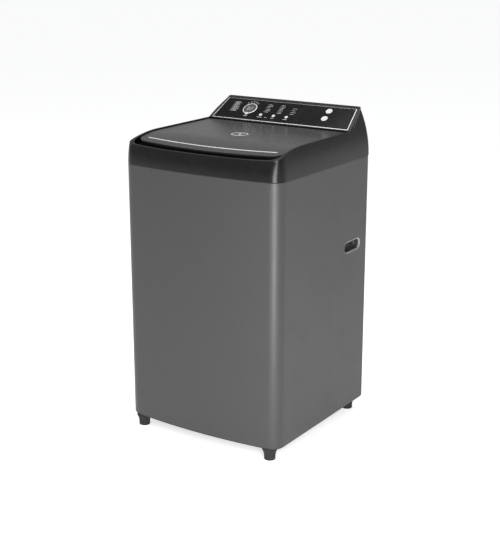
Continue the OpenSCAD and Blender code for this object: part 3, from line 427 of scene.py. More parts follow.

# ======== hand recesses ========
# A rounded lip round each slot in the sheet is coloured pale as a painted highlight, for the light its edge
# catches, and behind it a moulded cup gives the fingers a smooth hold. The cup's flange is trapped behind the
# sheet.

handle_plastic = finish_of("handle_plastic", (0.030, 0.029, 0.029), 0.48, fineness=1400, depth=0.05,
                           bump_size=0.0003, tint=0.06, smudges=0.12, dust=0.4)
# The lip's pale grey is a painted highlight: it stands in for the light that the slot's rounded edge catches.
recess_rim_painted_highlight = finish_of("recess_rim_painted_highlight", (0.24, 0.238, 0.236), 0.34, fineness=1200, depth=0.02,
                        bump_size=0.0002, tint=0.04, smudges=0.10, dust=0.10)
cup_depth = 0.026
cup_wall_inset = 0.0042
cup_floor_r = 0.006
cup_bend_depth = cup_depth - 0.009
lip_r = 0.0036


def slot_shell(name, rings, side):
    """A shell through slot-shaped rings, each (inset, depth from the cabinet's side)."""
    points, faces = [], []
    count = len(stadium(1, 0.5))
    for inset, depth in rings:
        for a, b in stadium(handle_l - 2 * inset, handle_h - 2 * inset):
            points.append((side * (wrap_half - depth), handle_y + a, handle_z + b))
    for k in range(len(rings) - 1):
        for i in range(count):
            j = (i + 1) % count
            faces.append((k * count + i, k * count + j, (k + 1) * count + j, (k + 1) * count + i))
    return from_points(name, points, faces)


for side, word in ((-1, "left"), (1, "right")):
    lip_rings = [(0.0001 + lip_r * math.sin(math.radians(a)), lip_r * (1 - math.cos(math.radians(a))))
                 for a in range(0, 91, 15)] + [(0.0001 + lip_r, 0.0062)]
    lip = slot_shell(word + "_slot_lip", lip_rings, side)
    tidy_mesh(lip)
    on_bench(lip)
    bpy.ops.object.shade_smooth_by_angle(angle=math.radians(60))
    finish_piece(lip, recess_rim_painted_highlight, "cabinet", "handle_plastic")
    cup_rings = [(0.0002 + lip_r, 0.0055), (0.0034, 0.0080), (cup_wall_inset, cup_bend_depth)]
    cup_rings += [
        (cup_wall_inset + cup_floor_r * (1 - math.cos(math.radians(a))),
         cup_bend_depth + cup_floor_r * math.sin(math.radians(a))) for a in range(15, 91, 15)]
    cup_rings += [(0.0145, cup_depth - 0.0028)]
    cup = slot_shell(word + "_hand_cup", cup_rings, side)
    on_bench(cup)
    bpy.ops.object.mode_set(mode="EDIT")
    bpy.ops.mesh.select_mode(type="EDGE")
    bpy.ops.mesh.select_all(action="DESELECT")
    off_bench()
    rim_count = len(stadium(1, 0.5))
    for edge in cup.data.edges:
        edge.select = all(v >= rim_count * (len(cup_rings) - 1) for v in edge.vertices)
    bpy.ops.object.mode_set(mode="EDIT")
    bpy.ops.mesh.edge_face_add()
    off_bench()
    tidy_mesh(cup)
    if side * sum(f.normal.x * f.area for f in cup.data.polygons) < 0:
        cup.data.flip_normals()
    with_wall(cup, 0.0016)
    on_bench(cup)
    bpy.ops.object.shade_smooth_by_angle(angle=math.radians(50))
    finish_piece(cup, handle_plastic, "cabinet", "handle_plastic", word + "_handle_cup")

# ======== base and feet ========
# The moulded base ring carries four rubber-soled feet on threaded studs. The two front feet
# screw in and out to level the machine, and have ribs for the fingers.

black_plastic = finish_of("black_plastic", (0.018, 0.018, 0.019), 0.5, fineness=1300, depth=0.05,
                          bump_size=0.0003, tint=0.08, smudges=0.1, dust=0.5)
rubber = finish_of("rubber", (0.014, 0.014, 0.015), 0.72, specular=0.35, fineness=1500, depth=0.08,
                   bump_size=0.0004, tint=0.12, smudges=0.05, dust=0.9)


def turned(name, profile, steps=48, close=True):
    """A profile of (radius, height), spun round the Z axis."""
    piece = from_points(name, [(r, 0, z) for r, z in profile],
                        edges=[(i, i + 1) for i in range(len(profile) - 1)])
    on_bench(piece)
    bpy.ops.object.mode_set(mode="EDIT")
    bpy.ops.mesh.select_all(action="SELECT")
    bpy.ops.mesh.spin(steps=steps, angle=math.tau, center=(0, 0, 0), axis=(0, 0, 1))
    bpy.ops.mesh.select_all(action="SELECT")
    bpy.ops.mesh.remove_doubles(threshold=0.000005)
    bpy.ops.mesh.normals_make_consistent(inside=False)
    off_bench()
    return piece


def put(piece, matrix):
    """Moves a finished mesh to its place and leaves its object at the origin."""
    on_bench(piece)
    piece.matrix_world = matrix
    bpy.ops.object.transform_apply(location=True, rotation=True, scale=True)


def copied(piece, name):
    twin = piece.copy()
    twin.data = piece.data.copy()
    twin.name = name
    bpy.context.scene.collection.objects.link(twin)
    return twin


foot_model = turned("foot_model", [
    (0, 0), (0.0150, 0), (0.0164, 0.0004), (0.0170, 0.0016), (0.0170, 0.0052), (0.0158, 0.0062),
    (0.0158, 0.0078), (0.0168, 0.0088), (0.0172, 0.0140), (0.0186, 0.0220), (0.0204, 0.0282),
    (0.0224, 0.0302), (0.0230, 0.0310), (0.0230, 0.0368), (0.0224, 0.0374), (0.0050, 0.0376),
    (0.0050, 0.0790), (0.0044, 0.0800), (0, 0.0800)], steps=72)
pick_faces(foot_model, lambda c, n: 0.0310 < c.z < 0.0368 and math.hypot(c.x, c.y) > 0.022
           and int(round(math.degrees(math.atan2(c.y, c.x)) / 5 - 0.5)) % 4 == 0)
bpy.ops.mesh.extrude_region_move()
bpy.ops.transform.resize(value=(0.955, 0.955, 0.9), center_override=(0, 0, 0.0339))
off_bench()
pick_faces(foot_model, lambda c, n: c.z < 0.0001)
bpy.ops.mesh.inset(thickness=0.0035)
bpy.ops.mesh.extrude_region_move(TRANSFORM_OT_translate={"value": (0, 0, 0.0012)})
off_bench()
soft_edges(foot_model, 0.0003, 2, 30)
for name, node, body, x, y in (
        ("foot_front_left", "front_left_foot", "front_left_foot", -0.232, -0.232),
        ("foot_front_right", "front_right_foot", "front_right_foot", 0.232, -0.232),
        ("foot_rear_left", "rear_feet", "cabinet", -0.232, 0.232),
        ("foot_rear_right", "rear_feet", "cabinet", 0.232, 0.232)):
    foot = copied(foot_model, name)
    put(foot, Matrix.Translation((x, y, 0)))
    finish_piece(foot, rubber, body, "rubber", node)
bpy.data.objects.remove(foot_model)


def keep_node(node, finish):
    """A machined or moulded part that needs no more than its finish."""
    cad[node].data.materials.clear()
    cad[node].data.materials.append(finish)


keep_node("base_frame", black_plastic)

# ======== top cover ========
# One dark ABS moulding: sides and front lean in to a thin rim round the lid, the deck dips to
# the loading funnel, and the console rises behind with a rounded ridge and broad cheeks.

cover_plastic = finish_of("cover_plastic", (0.0040, 0.0036, 0.0037), 0.27, specular=0.32, fineness=1000,
                          depth=0.012, bump_size=0.0001, tint=0.06, smudges=0.10, dust=0.10)
rim_z = 0.910
front_rim_z = 0.882
ridge_z = 0.970
ridge_r = 0.010
cover_back_y = 0.270
brow_r = 0.410
brow_y = -0.1031
front_rim_w = 0.018
side_r = 0.310
apron_r = 0.170
apron_h = front_rim_z - seam_z
panel_slope = math.radians(33)
console_y = 0.164646
cover_t = 0.003
seat_half = 0.2511
seat_front_y = -0.2562
seat_rear_y = 0.16405
seat_drop = 0.022
trough_y = 0.13565
trough_z = 0.880
opening_r = 0.168
opening_y = -0.048
funnel_z = 0.817
funnel_t = 0.0025
cheek_r = 0.009


def brow_z(y, depth=0.0):
    """Height of the lid's surface line, or of one at a depth below it."""
    r = brow_r - depth
    if y >= brow_y:
        return rim_z - depth
    return rim_z - brow_r + math.sqrt(max(r * r - (brow_y - y) ** 2, 0))


def cover_top(y):
    """Height of the cover's side view at a depth from the front."""
    if y < wrap_front_y + front_rim_w:
        return brow_z(wrap_front_y + front_rim_w)
    if y < console_y:
        return brow_z(y)
    ridge_y = cover_back_y - ridge_r
    slope_z = rim_z + (y - console_y) * math.tan(panel_slope)
    if y < ridge_y - ridge_r * math.sin(panel_slope):
        return slope_z
    return ridge_z - ridge_r + math.sqrt(max(ridge_r ** 2 - (y - ridge_y) ** 2, 0))


def ease(t):
    t = min(max(t, 0), 1)
    return t * t * (3 - 2 * t)


def cover_outline():
    """Right half of the cover's plan: (point, outward normal, matching point on the seat)."""
    outer, yc = bowed_half(wrap_half, wrap_front_y, bow_r, corner_r)
    inner, seat_yc = bowed_half(seat_half, seat_front_y, bow_r - 0.004, corner_r - 0.007)
    rows = []
    for i, (p, s) in enumerate(zip(outer, inner)):
        centre = (0, wrap_front_y + bow_r) if i <= 20 else (wrap_half - corner_r, yc)
        n = Vector((p[0] - centre[0], p[1] - centre[1])).normalized()
        rows.append((Vector(p), n, Vector(s)))
    side = [yc + 0.0020, yc + 0.0026, yc + 0.0032]
    y = yc + 0.012
    while y < 0.157:
        side.append(y)
        y += 0.009
    side += [0.1605, seat_rear_y, console_y + 0.0005, console_y + 0.004, 0.176, 0.186, 0.198, 0.210, 0.222,
             0.234, 0.244, 0.251, cover_back_y - rear_r]
    for y in side:
        dent = 0.0004 if abs(y - yc - 0.0026) < 1e-6 else 0
        rows.append((Vector((wrap_half - dent, y)), Vector((1, 0)),
                     Vector((seat_half, min(max(y, seat_yc), seat_rear_y)))))
    for a in range(10, 91, 10):
        n = Vector((math.cos(math.radians(a)), math.sin(math.radians(a))))
        p = Vector((wrap_half - rear_r, cover_back_y - rear_r)) + rear_r * n
        rows.append((p, n, Vector((seat_half, seat_rear_y))))
    steps = 16
    for i in range(1, steps + 1):
        x = (wrap_half - rear_r) * (1 - i / steps)
        rows.append((Vector((x, cover_back_y)), Vector((0, 1)),
                     Vector((seat_half * (1 - i / steps), seat_rear_y))))
    return rows


right_rows = cover_outline()
left_rows = [(Vector((-p.x, p.y)), Vector((-n.x, n.y)), Vector((-s.x, s.y)))
             for p, n, s in reversed(right_rows[1:-1])]
rows = right_rows + left_rows
rim_steps = [0, .04, .10, .18, .28, .40, .60, .74, .86, .94, 1]
console_steps = [0, .0007, .0017, .0031, .0049, .0069, .0090, .0200, .0450, .0800]
wall_steps = [0.0, .006, .05, .16, .30, .44, .58, .70, .80, .88, .94, .975, 1.0]


def leaned(p, n, h):
    """A point of the plan outline, leaned in as the cover's side is at a height."""
    dx = side_r - math.sqrt(side_r ** 2 - h * h)
    hf = min(h, apron_h + 0.004)
    dy = apron_r - math.sqrt(apron_r ** 2 - hf * hf) if n.y < 0 else 0
    share = n.x * abs(n.x) if n.y < 0 else p.x / wrap_half
    return Vector((p.x - share * dx, p.y - n.y * abs(n.y) * dy))


loops = []


def loop_of(make):
    loops.append([make(p, n, s) for p, n, s in rows])


def edge_r(p, n):
    """Rounding of the cover's outer edge: fine on the rim, broad on the console's cheeks."""
    broad = ease((p.y - 0.150) / 0.045) * abs(n.x)
    return 0.0022 + (cheek_r - 0.0022) * broad if n.y <= 0.3 or n.x else 0.0006


def top_of(p, n):
    return cover_top(min(p.y, 0.2699)) - edge_r(p, n) if n.y < 0.95 else ridge_z - ridge_r


for inset, z in ((cover_t, seam_z + 0.0002), (0.0012, seam_z), (0.0004, seam_z + 0.0003)):
    loop_of(lambda p, n, s: (p.x - inset * n.x, p.y - inset * n.y, z))
for f in wall_steps:
    def wall_point(p, n, s):
        top = top_of(p, n)
        h = 0.0010 + (top - seam_z - 0.0010) * f
        q = leaned(p, n, h)
        return (q.x, q.y, seam_z + h)
    loop_of(wall_point)
for k in range(1, 11):
    def deck_point(p, n, s):
        r = edge_r(p, n)
        q = leaned(p, n, top_of(p, n) - seam_z)
        span = (s - q).length
        back = ease((p.y - 0.150) / 0.030)
        rim = rim_steps[k] * span
        far = console_steps[k] if k < 10 else span
        d = rim + (min(far, span) - rim) * back
        q = q + (s - q) * (d / span)
        drop = r - math.sqrt(max(r * r - max(r - d, 0) ** 2, 0))
        near = span - d
        fine = 0.0010
        drop += (fine - math.sqrt(max(fine * fine - max(fine - near, 0) ** 2, 0))) * (1 - back * 0.6)
        if n.y > 0.3:
            drop = drop * abs(n.x)
        return (q.x, q.y, cover_top(q.y) - drop)
    loop_of(deck_point)


def seat_floor(y):
    return brow_z(y, seat_drop)


loop_of(lambda p, n, s: (s.x, s.y, seat_floor(s.y) + 0.0030))
for a in (30, 60, 90):
    def seat_fillet(p, n, s):
        centre = Vector((0, opening_y))
        toward = (centre - s).normalized()
        q = s + toward * 0.003 * (1 - math.cos(math.radians(a)))
        return (q.x, q.y, seat_floor(q.y) + 0.003 * (1 - math.sin(math.radians(a))))
    loop_of(seat_fillet)
for t in (0.2, 0.45, 0.7, 0.9, 1.0):
    def floor_point(p, n, s):
        centre = Vector((0, opening_y))
        out = (s - centre).normalized()
        a = s - out * 0.003
        b = centre + out * (opening_r + 0.004)
        q = a + (b - a) * t
        return (q.x, q.y, seat_floor(q.y))
    loop_of(floor_point)


def round_point(r, z_of):
    def make(p, n, s):
        out = (s - Vector((0, opening_y))).normalized()
        q = Vector((0, opening_y)) + out * r
        return (q.x, q.y, z_of(q.y))
    return make


for a in (30, 60, 90):
    turn = math.radians(a)
    loop_of(round_point(opening_r + 0.004 * (1 - math.sin(turn)),
                        lambda y: seat_floor(y) - 0.004 * (1 - math.cos(turn))))
loop_of(round_point(opening_r, lambda y: 0.850))
loop_of(round_point(opening_r, lambda y: funnel_z + 0.0006))
loop_of(round_point(opening_r + 0.0006, lambda y: funnel_z))
loop_of(round_point(opening_r + funnel_t - 0.0006, lambda y: funnel_z))
loop_of(round_point(opening_r + funnel_t, lambda y: funnel_z + 0.0006))
loop_of(round_point(opening_r + funnel_t, lambda y: seat_floor(y) - cover_t))
loop_of(lambda p, n, s: (s.x, s.y, seat_floor(s.y) - cover_t))


def inner_wall(p, n, s):
    z = seat_floor(s.y) - cover_t
    q = leaned(p, n, z - seam_z)
    return (q.x - cover_t * n.x, q.y - cover_t * n.y, z)


loop_of(inner_wall)
count = len(rows)
cover = from_points("top_cover_moulding", [p for ring in loops for p in ring], [
    (k * count + i, k * count + (i + 1) % count,
     ((k + 1) % len(loops)) * count + (i + 1) % count, ((k + 1) % len(loops)) * count + i)
    for k in range(len(loops)) for i in range(count)])
tidy_mesh(cover, 0.00002)


def block(name, low, high):
    """A plain block between two corners, for cutting and joining."""
    nothing_selected()
    bpy.ops.mesh.primitive_cube_add(size=1, location=[(a + b) / 2 for a, b in zip(low, high)])
    piece = bpy.context.active_object
    piece.name = name
    piece.scale = [b - a for a, b in zip(low, high)]
    bpy.ops.object.transform_apply(location=True, rotation=True, scale=True)
    return piece


panel_turn = Matrix.Translation((0, console_y, rim_z)) @ Matrix.Rotation(panel_slope, 4, "X")
border_foot_half = 0.2461
border_lean = 0.125
border_low = 0.003
border_high = 0.098


def panel_shape(inset, top_inset):
    """The control panel's outline on the slope, set in from the border's outer edge."""
    top_half = border_foot_half - border_lean * (border_high - border_low)
    return [(inset - border_foot_half, border_low + inset), (border_foot_half - inset, border_low + inset),
            (top_half - inset, border_high - top_inset), (inset - top_half, border_high - top_inset)]


cut_by(cover, block("trough_block", (-0.2535, 0.1330, 0.877), (0.2535, 0.1670, 0.8878)), how="UNION")
cut_by(cover, block("trough", (-0.2511, trough_y, trough_z), (0.2511, seat_rear_y, 0.8895)))
pocket = extruded("pocket", panel_shape(-0.0002, -0.0002), -0.024, 0.012)
put(pocket, panel_turn)
cut_by(cover, pocket)
window = block("window", (-0.2141, 0.245, 0.833), (0.2141, 0.275, 0.933))
cut_by(cover, window)
cut_by(cover, block("drawer_window", (-0.057, 0.070, 0.832), (0.057, 0.1235, 0.876)))
even_shade(cover, 32)
finish_piece(cover, cover_plastic, "cabinet", "cover_plastic", "top_cover")


# ======== console back, inlet and sensors ========
# A plain cover closes the console's back, with a square well round the threaded water inlet.
# Behind it sit the inlet valve, the pressure sensor and the lid's switch.

valve_plastic = finish_of("valve_plastic", (0.70, 0.70, 0.66), 0.42, fineness=900, depth=0.03, tint=0.04,
                          smudges=0.12, dust=0.5)
zinc_steel = finish_of("zinc_steel", (0.40, 0.41, 0.42), 0.36, metallic=0.85, fineness=160, depth=0.03,
                       bump_size=0.0002, tint=0.16, gloss_change=0.35, smudges=0.15, dust=0.3, fleck=0.05)
keep_node("console_back_cover", cover_plastic)
keep_node("inlet_valve", valve_plastic)
keep_node("pressure_sensor", valve_plastic)
keep_node("lid_sensor", valve_plastic)
keep_node("lid_hinge_brackets", black_plastic)
_, inlet_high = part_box("inlet_valve")
inlet_x, inlet_z, inlet_r = -0.150, 0.860, 0.0132
ridge_count = 6
thread_line = [(inlet_r - 0.0006, 0)]
for i in range(ridge_count):
    z = 0.0014 + i * 0.0019
    thread_line += [(inlet_r + 0.00005, z), (inlet_r + 0.0003, z + 0.0006), (inlet_r + 0.00005, z + 0.0012)]
thread_line += [(inlet_r + 0.00005, 0.0134), (inlet_r - 0.0008, 0.0140)]
inlet_thread = turned("inlet_thread", thread_line, 64)
put(inlet_thread, Matrix.Translation((inlet_x, inlet_high.y - 0.0140, inlet_z)) @ Matrix.Rotation(
    math.radians(-90), 4, "X"))
even_shade(inlet_thread, 30)
finish_piece(inlet_thread, valve_plastic, "cabinet", "valve_plastic")

# ======== rear panel ========
# A pressed zinc-coated sheet closes the cabinet's back. Cross-headed screws hold it on, and it
# carries the drain collar and the cord's gland.

keep_node("rear_panel", zinc_steel)
keep_node("drain_outlet", black_plastic)
keep_node("cord_gland", black_plastic)
screw_r = 0.0036
screw_model = turned("screw_model", [
    (0, 0.0022), (0.0016, 0.00215), (0.0028, 0.0017), (0.0034, 0.0010), (screw_r, 0.0004), (screw_r, 0),
    (0.0018, 0), (0.0018, -0.0070), (0, -0.0080)], 32)
for turn in (0, 90):
    slot = block("cross_recess", (-0.0018, -0.0003, 0.0010), (0.0018, 0.0003, 0.0030))
    put(slot, Matrix.Rotation(math.radians(turn), 4, "Z"))
    cut_by(screw_model, slot)
even_shade(screw_model, 35)
for side in (-1, 1):
    for k in range(4):
        screw = copied(screw_model, "rear_screw_%s%d" % ("LR"[side > 0], k + 1))
        place = Vector((side * (wrap_half - back_flange / 2 - 0.004), wrap_back_y,
                        wrap_low_z + 0.060 + k * (seam_z - wrap_low_z - 0.160) / 3))
        put(screw, Matrix.Translation(place) @ Matrix.Rotation(math.radians(-90), 4, "X")
            @ Matrix.Rotation(math.radians(17 + 40 * k), 4, "Z"))
        finish_piece(screw, zinc_steel, "cabinet", "zinc_steel", "rear_screws")
bpy.data.objects.remove(screw_model)

# ======== tub, suspension and drive ========
# A ribbed polypropylene tub hangs on four rods and springs. Under it are the clutch housing,
# the motor with its belt, and the drain valve with its pull actuator.

tub_plastic = finish_of("tub_plastic", (0.46, 0.48, 0.49), 0.44, fineness=700, depth=0.04, tint=0.05,
                        smudges=0.10, dust=0.4)
white_plastic = finish_of("white_plastic", (0.72, 0.73, 0.73), 0.34, fineness=900, depth=0.025, tint=0.03,
                          smudges=0.10, dust=0.12)
cast_aluminium = finish_of("cast_aluminium", (0.52, 0.52, 0.53), 0.46, metallic=0.9, fineness=500, depth=0.08,
                           tint=0.08, gloss_change=0.25, smudges=0.1, dust=0.4)
motor_steel = finish_of("motor_steel", (0.16, 0.165, 0.17), 0.42, metallic=0.7, fineness=600, depth=0.04,
                        tint=0.10, gloss_change=0.2, smudges=0.12, dust=0.5)
stainless = finish_of("stainless", (0.56, 0.56, 0.57), 0.24, metallic=1.0, fineness=260, depth=0.012,
                      tint=0.05, gloss_change=0.35, smudges=0.12, dust=0.05)
circuit_board = finish_of("circuit_board", (0.03, 0.12, 0.05), 0.35, fineness=500, depth=0.05, tint=0.15)
for node, finish in (
        ("suspension_brackets", zinc_steel), ("suspension_rods", zinc_steel),
        ("suspension_springs", motor_steel), ("suspension_cups", black_plastic),
        ("outer_tub", tub_plastic), ("tub_cover_ring", white_plastic),
        ("air_chamber", tub_plastic), ("mount_plate", zinc_steel), ("clutch_housing", cast_aluminium),
        ("shaft_bearings", stainless), ("drive_motor", motor_steel), ("drive_belt", rubber),
        ("drain_valve", white_plastic), ("drain_actuator", valve_plastic), ("drain_plunger", stainless),
        ("clutch_lever", zinc_steel), ("spin_shaft", stainless), ("drive_pulley", cast_aluminium),
        ("motor_pulley", cast_aluminium), ("basket_base", white_plastic), ("balance_ring", white_plastic),
        ("detergent_housing", tub_plastic), ("button_carrier", black_plastic),
        ("control_board", circuit_board)):
    keep_node(node, finish)

# ======== spin basket ========
# Stainless sheet rolled into a drum and pierced all round, closed above by the balance ring and
# below by its base. A lint pocket with slats hangs on each side.

basket_axis_y = -0.005
drum_r = 0.2100
drum_low, drum_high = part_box("spin_basket")
drum_rows = 24
nothing_selected()
bpy.ops.mesh.primitive_circle_add(vertices=96, radius=drum_r, location=(0, basket_axis_y, drum_low.z))
drum = bpy.context.active_object
drum.name = "pierced_drum"
bpy.ops.object.transform_apply(location=True)
bpy.ops.object.mode_set(mode="EDIT")
bpy.ops.mesh.select_all(action="SELECT")
for i in range(drum_rows):
    bpy.ops.mesh.extrude_edges_move(TRANSFORM_OT_translate={
        "value": (0, 0, (drum_high.z - drum_low.z) / drum_rows)})
bpy.ops.mesh.select_all(action="SELECT")
bpy.ops.mesh.remove_doubles(threshold=0.00001)
bpy.ops.mesh.normals_make_consistent(inside=False)
off_bench()
row_h = (drum_high.z - drum_low.z) / drum_rows


def to_pierce(c, n):
    column = int(math.degrees(math.atan2(c.y - basket_axis_y, c.x)) % 360 / 3.75)
    row = int((c.z - drum_low.z) / row_h)
    return (column + row) % 2 == 0 and 0 < row < drum_rows - 1


pick_faces(drum, to_pierce)
bpy.ops.mesh.inset(thickness=0.0048, use_individual=True)
bpy.ops.mesh.bevel(offset=0.0016, segments=2, affect="VERTICES")
off_bench()
for face in drum.data.polygons:
    xs = [drum.data.vertices[v].co for v in face.vertices]
    tall = max(v.z for v in xs) - min(v.z for v in xs)
    face.select = len(xs) > 8 and tall < 0.009
on_bench(drum)
bpy.ops.object.mode_set(mode="EDIT")
bpy.ops.mesh.delete(type="FACE")
off_bench()
with_wall(drum, 0.0009)
even_shade(drum, 35)
finish_piece(drum, stainless, "basket", "stainless", "spin_basket")

filter_plastic = finish_of("filter_plastic", (0.20, 0.30, 0.38), 0.38, fineness=900, depth=0.03, tint=0.05,
                           smudges=0.10, dust=0.15)
keep_node("lint_filters", filter_plastic)
filter_low, filter_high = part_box("lint_filters")
for side, word in ((-1, "left"), (1, "right")):
    slats = []
    for k in range(9):
        y = basket_axis_y + (k - 4) * 0.0078
        slats.append(block("slat", (side * 0.1962 - 0.0016, y - 0.0013, filter_low.z + 0.012),
                           (side * 0.1962 + 0.0016, y + 0.0013, filter_high.z - 0.014)))
    for z in (filter_low.z + 0.010, (filter_low.z + filter_high.z) / 2, filter_high.z - 0.012):
        slats.append(block("slat", (side * 0.1962 - 0.0012, basket_axis_y - 0.0340, z - 0.0016),
                           (side * 0.1962 + 0.0012, basket_axis_y + 0.0340, z + 0.0016)))
    nothing_selected()
    for slat in slats:
        slat.select_set(True)
    bpy.context.view_layer.objects.active = slats[0]
    bpy.ops.object.join()
    grille = bpy.context.active_object
    grille.name = word + "_lint_slats"
    soft_edges(grille, 0.0005, 2, 40)
    finish_piece(grille, filter_plastic, "basket", "filter_plastic")

# ======== pulsator ========
# A moulded disc with a raised hub and six swept paddles that turns on the wash shaft in the
# basket's floor. A cap covers its screw.

paddle_r = 0.165
disc_z = 0.342
rings = 34
spokes = 192


def pulsator_z(r, a):
    """Height of the pulsator's upper face: a dome, a hub and six smooth paddles."""
    t = 1 - r / paddle_r
    dome = 0.004 + 0.013 * math.sin(math.radians(90 * t)) ** 2
    hub = 0.010 * ease((0.040 - r) / 0.014)
    swept = 6 * (a + 0.9 * r / paddle_r)
    crest = max(math.cos(swept), 0) ** 3
    reach = ease((r - 0.030) / 0.022) * ease((paddle_r - 0.006 - r) / 0.030)
    return disc_z + dome + hub + 0.0135 * crest * reach


points = [(0, basket_axis_y, pulsator_z(0, 0))]
for k in range(1, rings + 1):
    r = paddle_r * k / rings
    for i in range(spokes):
        a = math.tau * i / spokes
        z = pulsator_z(r, a) - (0.0015 if k == rings else 0)
        points.append((r * math.cos(a), basket_axis_y + r * math.sin(a), z))
for r, z in ((paddle_r, disc_z + 0.0008), (paddle_r - 0.003, disc_z)):
    for i in range(spokes):
        a = math.tau * i / spokes
        points.append((r * math.cos(a), basket_axis_y + r * math.sin(a), z))
faces = [(0, 1 + i, 1 + (i + 1) % spokes) for i in range(spokes)]
for k in range(rings + 1):
    for i in range(spokes):
        j = (i + 1) % spokes
        near = 1 + k * spokes
        far = near + spokes
        faces.append((near + i, far + i, far + j, near + j))
faces.append([1 + (rings + 1) * spokes + i for i in range(spokes)][::-1])
paddles = from_points("pulsator_disc", points, faces)
tidy_mesh(paddles)
on_bench(paddles)
bpy.ops.object.shade_smooth_by_angle(angle=math.radians(50))
finish_piece(paddles, white_plastic, "pulsator", "white_plastic", "pulsator")
hub_cap = turned("pulsator_cap", [
    (0, 0.0025), (0.010, 0.0023), (0.0165, 0.0015), (0.0185, 0.0005), (0.0190, -0.0010), (0.0190, -0.004),
    (0, -0.004)], 48)
put(hub_cap, Matrix.Translation((0, basket_axis_y, pulsator_z(0, 0) + 0.0002)))
even_shade(hub_cap, 35)
finish_piece(hub_cap, filter_plastic, "pulsator", "white_plastic")

# ======== detergent drawer ========
# A shallow white drawer with two wells slides out of the funnel's back wall under the console.

keep_node("detergent_drawer", white_plastic)

# ======== lid ========
# A bent sheet of toughened smoked glass bonded to a moulded frame, pivoting on two pins at its
# back. A bright strip and a round badge are set into it near the lip and in the middle.

lid_half = 0.2496
lid_front_y = -0.227
lid_rear_y = 0.15765
lid_bow_r = 1.7895
lid_corner_r = 0.032
lid_drop = 0.0035
glass_t = 0.004
lid_glass = finish_of("lid_glass", (0.040, 0.040, 0.040), 0.26, specular=0.46, coat=0.0, fineness=60,
                      depth=0.001, bump_size=0.0001, tint=0.02, gloss_change=0.10, smudges=0.05, dust=0.06)
bright_trim = finish_of("bright_trim", (0.86, 0.86, 0.87), 0.30, metallic=0.45, fineness=500, depth=0.01,
                        tint=0.03, smudges=0.08, dust=0.0)
badge_metal = finish_of("badge_metal", (0.88, 0.88, 0.89), 0.45, metallic=0.0, fineness=500, depth=0.01,
                        tint=0.04, smudges=0.08, dust=0.0)
# The lid frame's black is darker and duller than the other black plastic, as painted shade for the deep shadow
# in the gap round the lid's lip.
frame_plastic_painted_shade = finish_of("frame_plastic_painted_shade", (0.0035, 0.0035, 0.0036), 0.62, specular=0.10,
                          fineness=1300, depth=0.05, bump_size=0.0003, tint=0.06, smudges=0.10, dust=0.05)
keep_node("lid_frame", frame_plastic_painted_shade)
keep_node("lid_bumpers", rubber)

lid_right, _ = bowed_half(lid_half, lid_front_y, lid_bow_r, lid_corner_r, 24, 16)
lid_columns = [(-x, y) for x, y in reversed(lid_right[1:])] + lid_right
lid_rows = [0, .004, .012, .024, .04, .06, .08, .1, .12, .14, .16, .18, .2, .22, .24, .26, .28, .30, .32, .34,
            .37, .42, .5, .6, .7, .8, .9, .97, 1]


def sheet_on(name, columns, far_of, drop, row_list):
    """A sheet lying on the lid's curve, from a front line back to a far line."""
    points = []
    for x, y0 in columns:
        for t in row_list:
            y = y0 + (far_of(x, y0) - y0) * t
            points.append((x, y, brow_z(y, drop)))
    n = len(row_list)
    return from_points(name, points, [
        (i * n + j, (i + 1) * n + j, (i + 1) * n + j + 1, i * n + j + 1)
        for i in range(len(columns) - 1) for j in range(n - 1)])


glass = sheet_on("lid_glass_sheet", lid_columns, lambda x, y0: lid_rear_y, lid_drop, lid_rows)
with_wall(glass, glass_t)
soft_edges(glass, 0.0010, 3, 50)
finish_piece(glass, lid_glass, "lid", "lid_glass", "lid_glass")

strip_half = 0.224
strip_front_y = lid_front_y + 0.023
strip_xs = [i / 40 * strip_half for i in range(-40, 41)]
strip_columns = [(x, strip_front_y + lid_bow_r - math.sqrt(lid_bow_r ** 2 - x ** 2)) for x in strip_xs]
strip = sheet_on("lid_bright_strip", strip_columns, lambda x, y0: y0 + 0.004, lid_drop - 0.0004,
                 [0, .25, .5, .75, 1])
with_wall(strip, 0.0014)
soft_edges(strip, 0.0004, 2, 50)
finish_piece(strip, bright_trim, "lid", "bright_trim", "lid_strip")

badge_place = Matrix.Translation((0, (lid_front_y + lid_rear_y) / 2 - 0.005, rim_z - lid_drop))
badge_ring = turned("lid_badge_ring", [
    (0.0230, -0.0008), (0.0230, 0.0002), (0.0234, 0.0005), (0.0246, 0.0005), (0.0250, 0.0002),
    (0.0250, -0.0008), (0.0230, -0.0008)], 96)
put(badge_ring, badge_place)
even_shade(badge_ring, 40)
finish_piece(badge_ring, badge_metal, "lid", "badge_metal", "lid_badge")
badge_dot = turned("lid_badge_dot", [
    (0, 0.0003), (0.0036, 0.00028), (0.0050, 0.0002), (0.0055, 0.00005), (0.0055, -0.0008), (0, -0.0008)], 64)
put(badge_dot, badge_place)
even_shade(badge_dot, 40)
finish_piece(badge_dot, badge_metal, "lid", "badge_metal")

# ======== control panel ========
# A black glass plate lies in a bright bevelled border on the console's slope. Round keys come
# through it, a ring frames the display, and the markings are printed bars and dots.

panel_glass = finish_of("panel_glass", (0.0030, 0.0034, 0.0036), 0.14, specular=0.10, fineness=60, depth=0.003,
                        tint=0.03, gloss_change=0.3, smudges=0.07, dust=0.08)
silver_trim = finish_of("silver_trim", (0.62, 0.62, 0.63), 0.28, metallic=0.9, fineness=700, depth=0.008,
                        tint=0.03, smudges=0.06, dust=0.0)
button_white = finish_of("button_white", (0.66, 0.66, 0.69), 0.30, fineness=900, depth=0.01, tint=0.02,
                         smudges=0.10, dust=0.05)
display = finish_of("display", (0.075, 0.072, 0.068), 0.14, specular=0.4, fineness=80, depth=0.004, tint=0.05,
                    smudges=0.05, dust=0.05)
print_ink = finish_of("print_ink", (0.52, 0.52, 0.53), 0.45, fineness=2000, depth=0.01, tint=0.05, dust=0.0)
border_w = 0.003
border_top_w = 0.001
border_depth = 0.008
panel_t = 0.0032
button_r = 0.0055
big_button_r = 0.0105
button_play = 0.0004
ring_r = 0.024
ring_place = (-0.130, 0.056)
